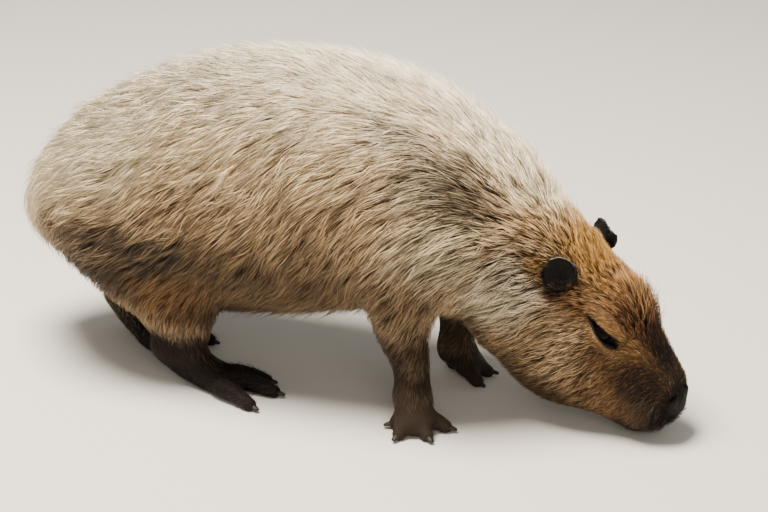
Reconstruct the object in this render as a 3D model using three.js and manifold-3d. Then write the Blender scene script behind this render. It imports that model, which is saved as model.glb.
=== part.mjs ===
// A capybara, life size, standing with its head down to graze.
// The pieces follow the outer shape of its coat and are parted from each other by thin cuts.
// Millimetres. +X points to the head end, +Y to the animal's left, +Z up, with the floor at Z = 0.
import * as THREE from 'three';
import { mergeVertices } from 'three/addons/utils/BufferGeometryUtils.js';
import Module from 'manifold-3d';

const wasm = await Module();
wasm.setup();

// Driving dimensions
const PARTING = 0.3; // width of the thin cut between neighbouring pieces
const SIDES = { right: -1, left: 1 }; // sign of Y on each side of the body
// How softly neighbouring shapes run into each other
const BLEND = { neck: 48, leg: 48, cheek: 26, lips: 14, foot: 16, toe: 7 };

// Grid steps for the facets of each kind of piece, along X, Y and Z
const FACET = {
  trunk: [61, 43, 42],
  neck: [35, 32, 32],
  head: [18, 17.5, 18],
  limb: [34, 30, 34],
  foot: [17, 15.5, 13.5],
};

// Coat outline along the back: where the ring stands, its half-width and its half-depth
const AXIS_RINGS = [
  { at: [-474, 0, 213], half: [60, 50] },
  { at: [-436, 0, 230], half: [94, 84] },
  { at: [-375, 0, 250], half: [130, 124] },
  { at: [-300, 0, 272], half: [154, 158] },
  { at: [-200, 0, 287], half: [165, 195] },
  { at: [-80, 0, 307], half: [168, 201] },
  { at: [45, 0, 317], half: [159, 186] },
  { at: [145, 0, 299], half: [137, 158] },
  { at: [215, 0, 265], half: [113, 139] },
  { at: [280, 0, 209], half: [76, 108] },
];

// The head stands in its own frame: u towards the nose, v to the left, w up from the poll, between the ears
const HEAD = { poll: [355, 6, 254], yaw: -6, pitch: 37.5, roll: 6.3 };
const HEAD_RINGS = [
  { at: [-15, 0, -98], half: [76, 116] },
  { at: [35, 0, -91], half: [80, 119] },
  { at: [82, 0, -89], half: [76, 113] },
  { at: [128, 0, -88], half: [66, 92] },
  { at: [172, 0, -87], half: [56, 73] },
  { at: [207, 0, -87], half: [50, 59] },
];
const HEAD_SQUARE = 2.6; // how boxy the head's cross-section is, 2 being an ellipse
const CHEEK = { at: [60, 36, -130], radii: [82, 44, 68] };
const LIPS = { at: [212, 0, -97], radii: [42, 43, 41] };
// The eye is placed by u and w; sunk is the depth of its centre under the coat's surface
const EYE = { radius: 14, at: [98, -24], sunk: 9.5 };
const EAR = { radius: 26, depth: 15, wall: 4.6, at: [2, 72, 6], open: [0.35, 0.8, 0.4] };

// Cuts between the pieces
const POLL_CUT = [-34, 0, -86]; // where the head meets the neck, in the head's frame
const NECK_CUT = { at: [238, 0, 290], aim: [0.8, 0, -0.6] };
const BLOCKS = {
  fore: {
    disc: { radius: 100, inner: 70, ahead: -4, drop: 50 },
    bar: { back: 62, ahead: 66, inner: 44, rise: 30 },
  },
  hind: {
    disc: { radius: 138, inner: 76, ahead: 12, drop: 55 },
    bar: { back: 110, ahead: 84, inner: 30, rise: 35 },
  },
};

// Legs: rings of the furred limb from the body down, and the heights of the cuts at joint and ankle
const LEGS = {
  foreleg_right: {
    side: 'right',
    rings: [
      { at: [150, -88, 290], half: [66, 88] },
      { at: [134, -102, 210], half: [52, 60] },
      { at: [134, -106, 150], half: [37, 42] },
      { at: [147, -106, 100], half: [27, 28] },
      { at: [149, -105, 52], half: [25, 25] },
    ],
    joint: 148,
    ankle: 62,
    foot: { at: [152, -108, 0], heading: -55, toes: 'fore' },
  },
  foreleg_left: {
    side: 'left',
    rings: [
      { at: [152, 88, 290], half: [66, 88] },
      { at: [136, 96, 210], half: [52, 60] },
      { at: [136, 92, 150], half: [37, 42] },
      { at: [146, 84, 100], half: [27, 28] },
      { at: [148, 80, 52], half: [25, 25] },
    ],
    joint: 148,
    ankle: 62,
    foot: { at: [151, 80, 0], heading: 28, toes: 'fore' },
  },
  hindleg_right: {
    side: 'right',
    rings: [
      { at: [-335, -88, 282], half: [80, 114] },
      { at: [-276, -108, 205], half: [62, 100] },
      { at: [-238, -106, 148], half: [46, 70] },
      { at: [-224, -98, 98], half: [33, 55] },
      { at: [-228, -91, 58], half: [26, 40] },
    ],
    joint: 150,
    ankle: 84,
    foot: { at: [-235, -91, 0], heading: -1, toes: 'hind' },
  },
  hindleg_left: {
    side: 'left',
    rings: [
      { at: [-340, 88, 280], half: [80, 110] },
      { at: [-345, 100, 205], half: [62, 92] },
      { at: [-362, 86, 145], half: [44, 60] },
      { at: [-380, 66, 98], half: [32, 44] },
      { at: [-388, 56, 58], half: [25, 36] },
    ],
    joint: 150,
    ankle: 84,
    foot: { at: [-397, 52, 0], heading: -24, toes: 'hind' },
  },
};

// Toes of a right foot: angle from the foot's heading, reach of the nail's end and place of the root
const TOES = {
  fore: {
    palm: [
      { reach: -6, height: 44, half: [25, 24] },
      { reach: 18, height: 19, half: [30, 22] },
    ],
    toes: [
      { fan: -100, reach: 31, spring: [-2, -13] },
      { fan: -42, reach: 53, spring: [12, -12] },
      { fan: 12, reach: 60, spring: [18, 4] },
      { fan: 60, reach: 54, spring: [8, 16] },
    ],
  },
  hind: {
    palm: [
      { reach: -12, height: 51, half: [22, 22] },
      { reach: 22, height: 36, half: [25, 29] },
      { reach: 52, height: 22, half: [28, 24] },
      { reach: 84, height: 13, half: [37, 16] },
      { reach: 104, height: 11, half: [40, 13] },
    ],
    toes: [
      { fan: -19, reach: 168, spring: [92, -31] },
      { fan: 1, reach: 178, spring: [100, 2] },
      { fan: 17, reach: 153, spring: [94, 20] },
    ],
  },
};
const NAIL = { length: 23, width: 12, height: 10, ahead: 6, slope: 0.12 };
const TOE = { root: 13, knuckle: 12, tip: 10.5, sink: 2.5, nail: 17 };

// Vectors and angles
const vec = (a) => new THREE.Vector3(...a);
const radians = THREE.MathUtils.degToRad;
const FORWARD = new THREE.Vector3(1, 0, 0);
const LEFT = new THREE.Vector3(0, 1, 0);
const UP = new THREE.Vector3(0, 0, 1);

// Shapes are fields: functions of a point, negative inside and growing with the distance from the surface
function smoothUnion(a, b, blend) {
  const near = Math.max(blend - Math.abs(a - b), 0) / blend;
  return Math.min(a, b) - (near * near * blend) / 4;
}

// A trunk, limb or toe: elliptical rings along a smooth curve, boxier where square is over 2
function ringField(rings, { across = LEFT, square = 2, steps = 3, cap = 1 } = {}) {
  const curve = (points) => new THREE.CatmullRomCurve3(points.map(vec), false, 'catmullrom', 0.5);
  const centres = curve(rings.map((r) => r.at));
  const halves = curve(rings.map((r) => [...r.half, 0]));
  const count = (rings.length - 1) * steps;
  const samples = Array.from({ length: count + 1 }, (_, i) => {
    const along = centres.getTangent(i / count);
    const side = across.clone().addScaledVector(along, -across.dot(along)).normalize();
    const up = new THREE.Vector3().crossVectors(along, side);
    const half = halves.getPoint(i / count);
    return { centre: centres.getPoint(i / count), along, side, up, wide: half.x, deep: half.y };
  });
  const step = new THREE.Vector3();
  const off = new THREE.Vector3();
  const axis = new THREE.Vector3();
  return (p) => {
    let nearest = Infinity;
    for (let i = 0; i < count; i++) {
      const a = samples[i];
      const b = samples[i + 1];
      step.subVectors(b.centre, a.centre);
      off.subVectors(p, a.centre);
      const t = THREE.MathUtils.clamp(off.dot(step) / step.lengthSq(), 0, 1);
      off.addScaledVector(step, -t);
      const wide = a.wide + (b.wide - a.wide) * t;
      const deep = a.deep + (b.deep - a.deep) * t;
      const least = Math.min(wide, deep);
      const y = Math.abs(off.dot(axis.lerpVectors(a.side, b.side, t))) / wide;
      const z = Math.abs(off.dot(axis.lerpVectors(a.up, b.up, t))) / deep;
      const x = Math.abs(off.dot(axis.lerpVectors(a.along, b.along, t))) / (least * cap);
      const size = (x ** square + y ** square + z ** square) ** (1 / square);
      nearest = Math.min(nearest, (size - 1) * least);
    }
    return nearest;
  };
}

// A swelling such as a cheek: an ellipsoid in the frame that place gives
function padField(at, radii, place) {
  const inverse = place.clone().multiply(shifted(at)).invert();
  const q = new THREE.Vector3();
  return (p) => {
    q.copy(p).applyMatrix4(inverse);
    return (Math.hypot(q.x / radii[0], q.y / radii[1], q.z / radii[2]) - 1) * Math.min(...radii);
  };
}

// Frames of the head and the feet
const shifted = (at) => new THREE.Matrix4().makeTranslation(...at);
const turned = (...angles) => {
  const euler = new THREE.Euler(...angles.map(radians), 'ZYX');
  return new THREE.Matrix4().makeRotationFromEuler(euler);
};
const headPlace = shifted(HEAD.poll).multiply(turned(HEAD.roll, HEAD.pitch, HEAD.yaw));
const headPoint = (at) => vec(at).applyMatrix4(headPlace);
const headAim = (aim) => vec(aim).transformDirection(headPlace);
const footPlace = ({ at, heading }) => shifted(at).multiply(turned(0, 0, heading));

// The body's fields
const ALL_LEGS = Object.keys(LEGS);
const axisField = ringField(AXIS_RINGS, { cap: 0.8 });
const skullField = ringField(
  HEAD_RINGS.map(({ at, half }) => ({ at: headPoint(at).toArray(), half })),
  { across: headAim([0, 1, 0]), square: HEAD_SQUARE, cap: 0.62 },
);
const mirrored = ([u, v, w], s) => [u, s * v, w];
const cheekField = (s) => padField(mirrored(CHEEK.at, s), CHEEK.radii, headPlace);
const cheekFields = Object.values(SIDES).map(cheekField);
const lipsField = padField(LIPS.at, LIPS.radii, headPlace);
const headField = (p) => {
  const muzzle = smoothUnion(skullField(p), lipsField(p), BLEND.lips);
  return cheekFields.reduce((v, cheek) => smoothUnion(v, cheek(p), BLEND.cheek), muzzle);
};
const legFields = Object.fromEntries(ALL_LEGS.map((name) => [name, ringField(LEGS[name].rings)]));
const bodyField = (p) => {
  const spine = smoothUnion(axisField(p), headField(p), BLEND.neck);
  return ALL_LEGS.reduce((v, name) => smoothUnion(v, legFields[name](p), BLEND.leg), spine);
};

// Root, knuckle and tip of a toe, in the part's frame
function toeLine(leg, toe) {
  const s = -SIDES[leg.side];
  const turn = radians(toe.fan * s);
  const [out, aside] = [toe.spring[0], toe.spring[1] * s];
  const span = toe.reach - Math.abs(out) - TOE.nail;
  const line = [
    [0, TOE.root + 6],
    [0.55, TOE.knuckle + 3],
    [1, TOE.tip - TOE.sink],
  ];
  return line.map(([share, height]) => {
    const ahead = out + Math.cos(turn) * span * share;
    const left = aside + Math.sin(turn) * span * share;
    return vec([ahead, left, height]).applyMatrix4(footPlace(leg.foot));
  });
}

function footField(leg) {
  const { palm, toes } = TOES[leg.foot.toes];
  const place = footPlace(leg.foot);
  const across = LEFT.clone().transformDirection(place);
  const palmRings = palm.map(({ reach, height, half }) => {
    const at = vec([reach, 0, height]).applyMatrix4(place).toArray();
    return { at, half };
  });
  const radii = [TOE.root, TOE.knuckle, TOE.tip];
  const toeFields = toes.map((toe) => {
    const rings = toeLine(leg, toe).map((at, i) => ({ at: at.toArray(), half: [radii[i], radii[i]] }));
    return ringField(rings, { across, steps: 2 });
  });
  const palmField = ringField(palmRings, { across });
  return (p) => toeFields.reduce((v, field) => smoothUnion(v, field(p), BLEND.toe), palmField(p));
}
const footFields = Object.fromEntries(ALL_LEGS.map((name) => [name, footField(LEGS[name])]));
const lowerLegField = (name) => (p) => smoothUnion(legFields[name](p), footFields[name](p), BLEND.foot);

// The slope of a field at a point
const probe = new THREE.Vector3();
function slopeAt(field, p, slope) {
  for (let axis = 0; axis < 3; axis++) {
    probe.copy(p).setComponent(axis, p.getComponent(axis) + 0.5);
    const ahead = field(probe);
    probe.setComponent(axis, p.getComponent(axis) - 0.5);
    slope.setComponent(axis, ahead - field(probe));
  }
  return slope;
}

// Moves a point along the field's slope on to the surface, by no more than reach at a time
function settle(p, field, reach) {
  const slope = new THREE.Vector3();
  for (let round = 0; round < 3; round++) {
    slopeAt(field, p, slope);
    const move = -field(p) / Math.max(slope.lengthSq(), 0.05);
    p.addScaledVector(slope, THREE.MathUtils.clamp(move, -reach, reach));
  }
}

// The closed mesh of a field in a box of space: a vertex for each grid cell that the surface crosses
function meshOf(field, lo, hi, step) {
  const n = lo.map((v, i) => Math.ceil((hi[i] - v) / step[i]) + 1);
  const stride = [1, n[0], n[0] * n[1]];
  const values = new Float64Array(n[0] * n[1] * n[2]);
  const cell = [0, 0, 0];
  const p = new THREE.Vector3();
  const eachCell = (ends, action) => {
    for (cell[2] = 0; cell[2] < ends[2]; cell[2]++)
      for (cell[1] = 0; cell[1] < ends[1]; cell[1]++)
        for (cell[0] = 0; cell[0] < ends[0]; cell[0]++)
          action(cell[0] + cell[1] * stride[1] + cell[2] * stride[2]);
  };
  const place = (shift) => p.set(...lo.map((v, i) => v + (cell[i] + shift[i]) * step[i]));
  eachCell(n, (at) => {
    const value = field(place([0, 0, 0]));
    const onEdge = cell.some((c, i) => c === 0 || c === n[i] - 1);
    values[at] = onEdge ? Math.max(value, 1) : value;
  });
  const crosses = (a, b) => values[a] < 0 !== values[b] < 0;
  const corners = Array.from({ length: 8 }, (_, c) => [c & 1, (c >> 1) & 1, (c >> 2) & 1]);
  const edges = corners.flatMap((a) => [0, 1, 2].filter((axis) => !a[axis]).map((axis) => [a, axis]));
  const vertexOf = new Map();
  const positions = [];
  const inner = n.map((v) => v - 1);
  eachCell(inner, (at) => {
    const sum = [0, 0, 0];
    let crossings = 0;
    for (const [corner, axis] of edges) {
      const a = at + corner.reduce((total, c, i) => total + c * stride[i], 0);
      const b = a + stride[axis];
      if (!crosses(a, b)) continue;
      const t = values[a] / (values[a] - values[b]);
      for (let i = 0; i < 3; i++) sum[i] += corner[i] + (i === axis ? t : 0);
      crossings++;
    }
    if (!crossings) return;
    place(sum.map((v) => v / crossings));
    settle(p, field, Math.min(...step) * 0.4);
    vertexOf.set(at, positions.length / 3);
    positions.push(p.x, p.y, p.z);
  });
  const triangles = [];
  eachCell(inner, (at) => {
    for (let axis = 0; axis < 3; axis++) {
      if (!crosses(at, at + stride[axis])) continue;
      const f = stride[(axis + 1) % 3];
      const g = stride[(axis + 2) % 3];
      const quad = [at, at - f, at - f - g, at - g].map((c) => vertexOf.get(c));
      if (values[at] >= 0) quad.reverse();
      triangles.push(quad[0], quad[1], quad[2], quad[0], quad[2], quad[3]);
    }
  });
  return new THREE.BufferGeometry()
    .setAttribute('position', new THREE.Float32BufferAttribute(positions, 3))
    .setIndex(triangles);
}

// Solids, for joining and cutting
function solidOf(geometry) {
  const bare = new THREE.BufferGeometry();
  bare.setAttribute('position', geometry.getAttribute('position').clone());
  bare.setIndex(geometry.index.clone());
  const merged = mergeVertices(bare, 1e-4);
  const vertProperties = new Float32Array(merged.attributes.position.array);
  const triVerts = new Uint32Array(merged.index.array);
  return new wasm.Manifold(new wasm.Mesh({ numProp: 3, vertProperties, triVerts }));
}

function geometryOf(solid) {
  const mesh = solid.getMesh();
  return new THREE.BufferGeometry()
    .setAttribute('position', new THREE.BufferAttribute(mesh.vertProperties, mesh.numProp))
    .setIndex(new THREE.BufferAttribute(mesh.triVerts, 1));
}

const largestBody = (solid) => solid.decompose().reduce((a, b) => (a.volume() > b.volume() ? a : b));

function boxSolid(lo, hi) {
  const size = hi.map((v, i) => v - lo[i]);
  return solidOf(new THREE.BoxGeometry(...size).translate(...lo.map((v, i) => v + size[i] / 2)));
}

// The half of space ahead of a plane, starting gap beyond it
const FAR = 3000;
function beyond(point, aim, gap = PARTING / 2) {
  const slab = new THREE.BoxGeometry(FAR, FAR, FAR).translate(0, 0, FAR / 2 + gap);
  slab.applyQuaternion(new THREE.Quaternion().setFromUnitVectors(UP, aim));
  return solidOf(slab.translate(...point));
}
const aboveFloor = beyond([0, 0, 0], UP, 0);
const above = (height) => beyond([0, 0, height], UP);
const below = (height) => beyond([0, 0, height], UP.clone().negate());

// The space that a leg's pieces fill, larger by grow: a disc over shoulder or haunch and a bar down the leg
function legBlock(leg, grow) {
  const s = SIDES[leg.side];
  const { disc, bar } = BLOCKS[leg.foot.toes];
  const hip = leg.rings[0].at;
  const round = new THREE.CylinderGeometry(disc.radius + grow, disc.radius + grow, 240, 28);
  round.translate(hip[0] + disc.ahead, s * (disc.inner - grow + 120), hip[2] - disc.drop);
  const knee = leg.rings[2].at;
  const ys = [s * (bar.inner - grow), s * 260].sort((a, b) => a - b);
  const top = leg.joint + bar.rise + grow;
  const barSolid = boxSolid(
    [knee[0] - bar.back - grow, ys[0], -20],
    [knee[0] + bar.ahead + grow, ys[1], top],
  );
  return solidOf(round).add(barSolid);
}

const parts = {};
const pollCut = headPoint(POLL_CUT);
const headForward = headAim([1, 0, 0]);
const neckAim = vec(NECK_CUT.aim).normalize();
const legBlocks = Object.values(LEGS).map((leg) => legBlock(leg, PARTING));

// Head, with a socket for each eye
const wholeHead = solidOf(meshOf(bodyField, [200, -160, -30], [600, 160, 390], FACET.head));
let head = largestBody(wholeHead.intersect(beyond(pollCut, headForward)).intersect(aboveFloor));
for (const [side, s] of Object.entries(SIDES)) {
  const place = (v) => headPoint([EYE.at[0], s * v, EYE.at[1]]);
  let [inside, outside] = [0, 120];
  while (outside - inside > 0.01) {
    const middle = (inside + outside) / 2;
    if (headField(place(middle)) < -EYE.sunk) inside = middle;
    else outside = middle;
  }
  const ball = (radius) => solidOf(new THREE.SphereGeometry(radius, 10, 6).translate(...place(inside)));
  head = head.subtract(ball(EYE.radius + PARTING));
  parts[`eye_${side}`] = { solid: ball(EYE.radius), finish: 'eye' };
}
parts.head = { solid: largestBody(head), finish: 'ginger_fur' };

// Neck and trunk, less the space of the legs
const lessLegs = (solid) => largestBody(legBlocks.reduce((rest, block) => rest.subtract(block), solid));
const backOf = (aim) => aim.clone().negate();
const wholeNeck = solidOf(meshOf(bodyField, [100, -200, 20], [480, 200, 470], FACET.neck));
const aheadOfTrunk = wholeNeck.intersect(beyond(NECK_CUT.at, neckAim));
const neck = aheadOfTrunk.intersect(beyond(pollCut, backOf(headForward)));
parts.neck = { solid: lessLegs(neck), finish: 'tan_fur' };
const wholeTrunk = solidOf(meshOf(bodyField, [-600, -220, 50], [430, 220, 560], FACET.trunk));
const trunk = wholeTrunk.intersect(beyond(NECK_CUT.at, backOf(neckAim)));
parts.trunk = { solid: lessLegs(trunk), finish: 'straw_fur' };

// A blunt nail at the end of a toe, larger by grow
function nailSolid(leg, toe, grow) {
  const profile = [[0, -0.5], [0.44, -0.5], [0.5, -0.1], [0.36, 0.34], [0, 0.5]];
  const shape = new THREE.LatheGeometry(profile.map(([r, y]) => new THREE.Vector2(r, y)), 7);
  shape.scale(NAIL.width + 2 * grow, NAIL.length + 2 * grow, NAIL.height + 2 * grow);
  const [, knuckle, tip] = toeLine(leg, toe);
  const aim = tip.clone().sub(knuckle).setZ(0).normalize().setZ(-NAIL.slope).normalize();
  const across = new THREE.Vector3().crossVectors(aim, UP).normalize();
  const top = new THREE.Vector3().crossVectors(across, aim);
  shape.applyMatrix4(new THREE.Matrix4().makeBasis(across, aim, top));
  return solidOf(shape.translate(...tip.addScaledVector(aim, NAIL.ahead)));
}

// Legs, feet and nails
for (const [name, leg] of Object.entries(LEGS)) {
  const block = legBlock(leg, 0);
  const near = leg.rings.reduce((box, ring) => box.expandByPoint(vec(ring.at)), new THREE.Box3());
  near.expandByVector(vec([190, 110, 0]));
  const limb = (top) => {
    const [lo, hi] = [[near.min.x, near.min.y, 30], [near.max.x, near.max.y, top]];
    return solidOf(meshOf(bodyField, lo, hi, FACET.limb)).intersect(block);
  };
  const isFore = leg.foot.toes === 'fore';
  const upper = limb(460).intersect(above(leg.joint));
  parts[`${name}_upper`] = { solid: largestBody(upper), finish: isFore ? 'tan_fur' : 'dun_fur' };
  const lower = limb(leg.joint + 60).intersect(below(leg.joint)).intersect(above(leg.ankle));
  parts[`${name}_lower`] = { solid: largestBody(lower), finish: 'brown_fur' };

  const { toes } = TOES[leg.foot.toes];
  const [x, y] = leg.foot.at;
  const span = Math.max(...toes.map((toe) => toe.reach)) + 10;
  const [lo, hi] = [[x - span, y - span, -16], [x + span, y + span, leg.ankle + 24]];
  const wholeFoot = solidOf(meshOf(lowerLegField(name), lo, hi, FACET.foot));
  let foot = wholeFoot.intersect(below(leg.ankle)).intersect(aboveFloor);
  toes.forEach((toe, i) => {
    foot = foot.subtract(nailSolid(leg, toe, PARTING));
    const nailName = `nail_${name.replace('leg', '')}_${i + 1}`;
    parts[nailName] = { solid: nailSolid(leg, toe, 0), finish: 'horn' };
  });
  parts[`${name}_foot`] = { solid: largestBody(foot), finish: 'dark_skin' };
}

// Ears: shallow bowls that open forwards and outwards, let into the head
const EAR_BACK = [[0, -1], [0.46, -0.88], [0.8, -0.5], [1, 0]];
const EAR_HOLLOW = [[0.86, -0.12], [0.66, -0.5], [0.36, -0.8], [0, -1]];
for (const [side, s] of Object.entries(SIDES)) {
  const { radius, depth, wall } = EAR;
  const back = EAR_BACK.map(([r, y]) => new THREE.Vector2(r * radius, y * depth));
  const hollow = EAR_HOLLOW.map(([r, y]) => new THREE.Vector2(r * radius, y * (depth - wall)));
  const bowl = new THREE.LatheGeometry([...back, ...hollow], 14);
  const open = vec(mirrored(EAR.open, s)).normalize();
  bowl.applyQuaternion(new THREE.Quaternion().setFromUnitVectors(LEFT, open));
  bowl.translate(...mirrored(EAR.at, s)).applyMatrix4(headPlace);
  const lift = headAim([0, s * 0.6, 0.8]).multiplyScalar(PARTING);
  const lifted = parts.head.solid.translate(lift.toArray());
  const ear = solidOf(bowl).subtract(lifted).subtract(parts.head.solid);
  parts[`ear_${side}`] = { solid: largestBody(ear), finish: 'dark_skin' };
}

// Materials
const FINISHES = {
  straw_fur: { color: '#cdb68c', roughness: 0.95 },
  tan_fur: { color: '#a98a60', roughness: 0.95 },
  dun_fur: { color: '#7d674b', roughness: 0.95 },
  ginger_fur: { color: '#96683a', roughness: 0.92 },
  brown_fur: { color: '#5a3c26', roughness: 0.9 },
  dark_skin: { color: '#2f2521', roughness: 0.75 },
  horn: { color: '#1d1816', roughness: 0.45 },
  eye: { color: '#120d0b', roughness: 0.08 },
};

const capybara = new THREE.Group();
for (const [name, { solid, finish }] of Object.entries(parts)) {
  const material = new THREE.MeshStandardMaterial({ ...FINISHES[finish], metalness: 0 });
  const mesh = new THREE.Mesh(geometryOf(solid), material);
  mesh.name = name;
  capybara.add(mesh);
}
export default capybara;
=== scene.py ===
"""A life-size grazing capybara for Blender 4.5: skin, coat, eyes, nails, whiskers and a plain stage.

Tables and fields are in millimetres, in the part's own frame: +X towards the nose, +Y to the
animal's left, +Z up from the floor. Meshes are made in metres.
"""

import math

import bpy
import numpy as np
from mathutils import Euler, Matrix, Vector
from mathutils.kdtree import KDTree


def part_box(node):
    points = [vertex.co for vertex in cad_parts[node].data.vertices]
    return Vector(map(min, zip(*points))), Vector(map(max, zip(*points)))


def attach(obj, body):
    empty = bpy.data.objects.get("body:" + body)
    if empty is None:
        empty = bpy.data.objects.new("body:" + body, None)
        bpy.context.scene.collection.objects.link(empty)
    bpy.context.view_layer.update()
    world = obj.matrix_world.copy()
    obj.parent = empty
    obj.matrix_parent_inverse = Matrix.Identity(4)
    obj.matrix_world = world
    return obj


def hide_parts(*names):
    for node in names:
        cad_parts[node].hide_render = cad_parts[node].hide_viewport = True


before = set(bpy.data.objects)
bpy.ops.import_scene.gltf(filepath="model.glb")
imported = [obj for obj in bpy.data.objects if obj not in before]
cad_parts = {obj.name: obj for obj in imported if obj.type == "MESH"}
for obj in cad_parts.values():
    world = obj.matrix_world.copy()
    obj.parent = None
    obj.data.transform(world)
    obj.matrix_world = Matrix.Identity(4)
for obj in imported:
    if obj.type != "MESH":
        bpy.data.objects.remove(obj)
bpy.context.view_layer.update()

bl_info = {
    "name": "Grazing Capybara",
    "version": (1, 0, 0),
    "blender": (4, 5, 0),
    "location": "View3D > Sidebar > Capybara",
    "description": "Builds the skin, coat, eyes, nails and stage of a life-size grazing capybara",
    "category": "Add Mesh",
}

MM = 0.001
FAR = 240.0  # what a field says where its shape is too far away to matter
MARGIN = 75.0  # how far out from its surface a limb's field is worked out
SIDES = {"right": -1, "left": 1}

# How softly neighbouring shapes run into each other, from whole limbs down to crisp edges
BLEND = {"neck": 48, "leg": 48, "cheek": 26, "foot": 16, "lips": 14, "stalk": 14, "lid": 12}
BLEND.update({"nose": 10, "ball": 9, "toe": 7, "wing": 7, "ear": 4, "fold": 3, "edge": 2, "crisp": 1.5})

# Rings along the back: centre, half-width and half-depth out to the coat's tips, the coat's depth
AXIS_RINGS = [
    ((-474, 0, 213), (60, 50), 19),
    ((-436, 0, 230), (94, 84), 21),
    ((-375, 0, 250), (130, 124), 22),
    ((-300, 0, 272), (154, 158), 22),
    ((-200, 0, 287), (165, 195), 22),
    ((-80, 0, 307), (168, 201), 22),
    ((45, 0, 317), (159, 186), 22),
    ((145, 0, 299), (137, 158), 21),
    ((215, 0, 265), (113, 139), 19),
    ((280, 0, 209), (76, 108), 15),
]

# The head's own frame: u towards the nose, v to the left, w up from the poll, between the ears
HEAD_POLL = (355, 6, 254)
HEAD_TURN = (6.3, 37.5, -6)  # roll, pitch and yaw in degrees
HEAD_RINGS = [
    ((-15, 0, -98), (76, 116), 13),
    ((35, 0, -91), (80, 119), 10),
    ((82, 0, -89), (76, 113), 7),
    ((128, 0, -88), (66, 92), 5),
    ((172, 0, -87), (56, 73), 3),
    ((207, 0, -87), (50, 59), 2),
]
HEAD_SQUARE = 2.6
CAPS = {"trunk": 0.8, "head": 0.62}  # how far the end rings bulge, as a share of their size
LIPS = {"at": (212, 0, -97), "radii": (42, 43, 41), "coat": 2}
CHEEK = {"at": (60, 36, -130), "radii": (82, 44, 68), "coat": 9}

# The muzzle, in the head's frame; widths are halved
NOSE = {"at": (228, 0, -72), "radii": (26, 32, 26)}
WING = {"at": (224, 21, -56), "radii": (16, 10, 12)}
NOSTRIL = {
    "at": (232, 21, -46),
    "radii": (8, 7, 3),
    "aim": (0.75, 0.55, 0.3),
    "slant": (-0.45, 0.75, -0.5),
}
GROOVE = {"width": 0.8, "depth": 1.2, "top": -56, "foot": -118}
MOUTH = {"width": 1.0, "depth": 4.0, "level": -121, "bow": 0.000315, "middle": 240, "end": 168}
MOUTH_CORNER = {"from": 205, "length": 60, "fall": 6}

# The eye, in its own frame: along the slit towards the nose, across it upwards, and outwards
EYE_RADIUS = 14.0
EYE_OUT = (0.16, 1, 0.3)  # in the head's frame, as the next
EYE_ALONG = (1, 0, -0.07)
SLIT = {"half_length": 26.0, "upper": 6.8, "lower": 6.0, "slant": 0.06, "blunt": 0.7}
LID = {"radius": 16.4, "margin": 1.6, "line": 31.0, "black": 6.4}
LID.update({"far": 100.0, "reach": 60, "behind": -8})
LID_CREASE = {"width": 1.1, "depth": 2.2}
BROW_AND_POUCH = [((-4, 15, 5), (24, 8, 6)), ((2, -15, 3), (22, 6, 5))]

# The ear, in the head's frame: a notch behind and a fold in front are set from the cup's middle
EAR = {
    "at": (2, 72, 6),
    "open": (0.35, 0.8, 0.4),
    "top": (-0.7, 0, 0.7),
    "back": (-1, 0, -0.05),
    "front": (0.8, 0, 0.7),
    "radius": 25.6,
    "depth": 14.6,
    "rim": 22.9,
    "hollow": 11.0,
    "lip": 0.5,
    "notch": (26, 6.2),
    "fold": (22, (3.2, 10, 5.5)),
}
EAR_STALK = [((-2, 40, -24), 24), ((-2, 53, -8), 20), ((0, 63, 1), 15)]

# The legs: rings down to the ankle, the foot's place and heading, and its kind of toes
LEGS = {
    "foreleg_right": {
        "side": -1,
        "rings": [
            ((150, -88, 290), (66, 88), 20),
            ((134, -102, 210), (52, 60), 15),
            ((134, -106, 150), (37, 42), 8),
            ((147, -106, 100), (27, 28), 3),
            ((149, -105, 52), (25, 25), 1.5),
        ],
        "foot": ((152, -108, 0), -55),
        "toes": "fore",
    },
    "foreleg_left": {
        "side": 1,
        "rings": [
            ((152, 88, 290), (66, 88), 20),
            ((136, 96, 210), (52, 60), 15),
            ((136, 92, 150), (37, 42), 8),
            ((146, 84, 100), (27, 28), 3),
            ((148, 80, 52), (25, 25), 1.5),
        ],
        "foot": ((151, 80, 0), 28),
        "toes": "fore",
    },
    "hindleg_right": {
        "side": -1,
        "rings": [
            ((-335, -88, 282), (80, 114), 20),
            ((-276, -108, 205), (62, 100), 18),
            ((-238, -106, 148), (46, 70), 10),
            ((-224, -98, 98), (33, 55), 3.5),
            ((-228, -91, 58), (26, 40), 1.5),
        ],
        "foot": ((-235, -91, 0), -1),
        "toes": "hind",
    },
    "hindleg_left": {
        "side": 1,
        "rings": [
            ((-340, 88, 280), (80, 110), 20),
            ((-345, 100, 205), (62, 92), 18),
            ((-362, 86, 145), (44, 60), 10),
            ((-380, 66, 98), (32, 44), 3.5),
            ((-388, 56, 58), (25, 36), 1.5),
        ],
        "foot": ((-397, 52, 0), -24),
        "toes": "hind",
    },
}

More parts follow.
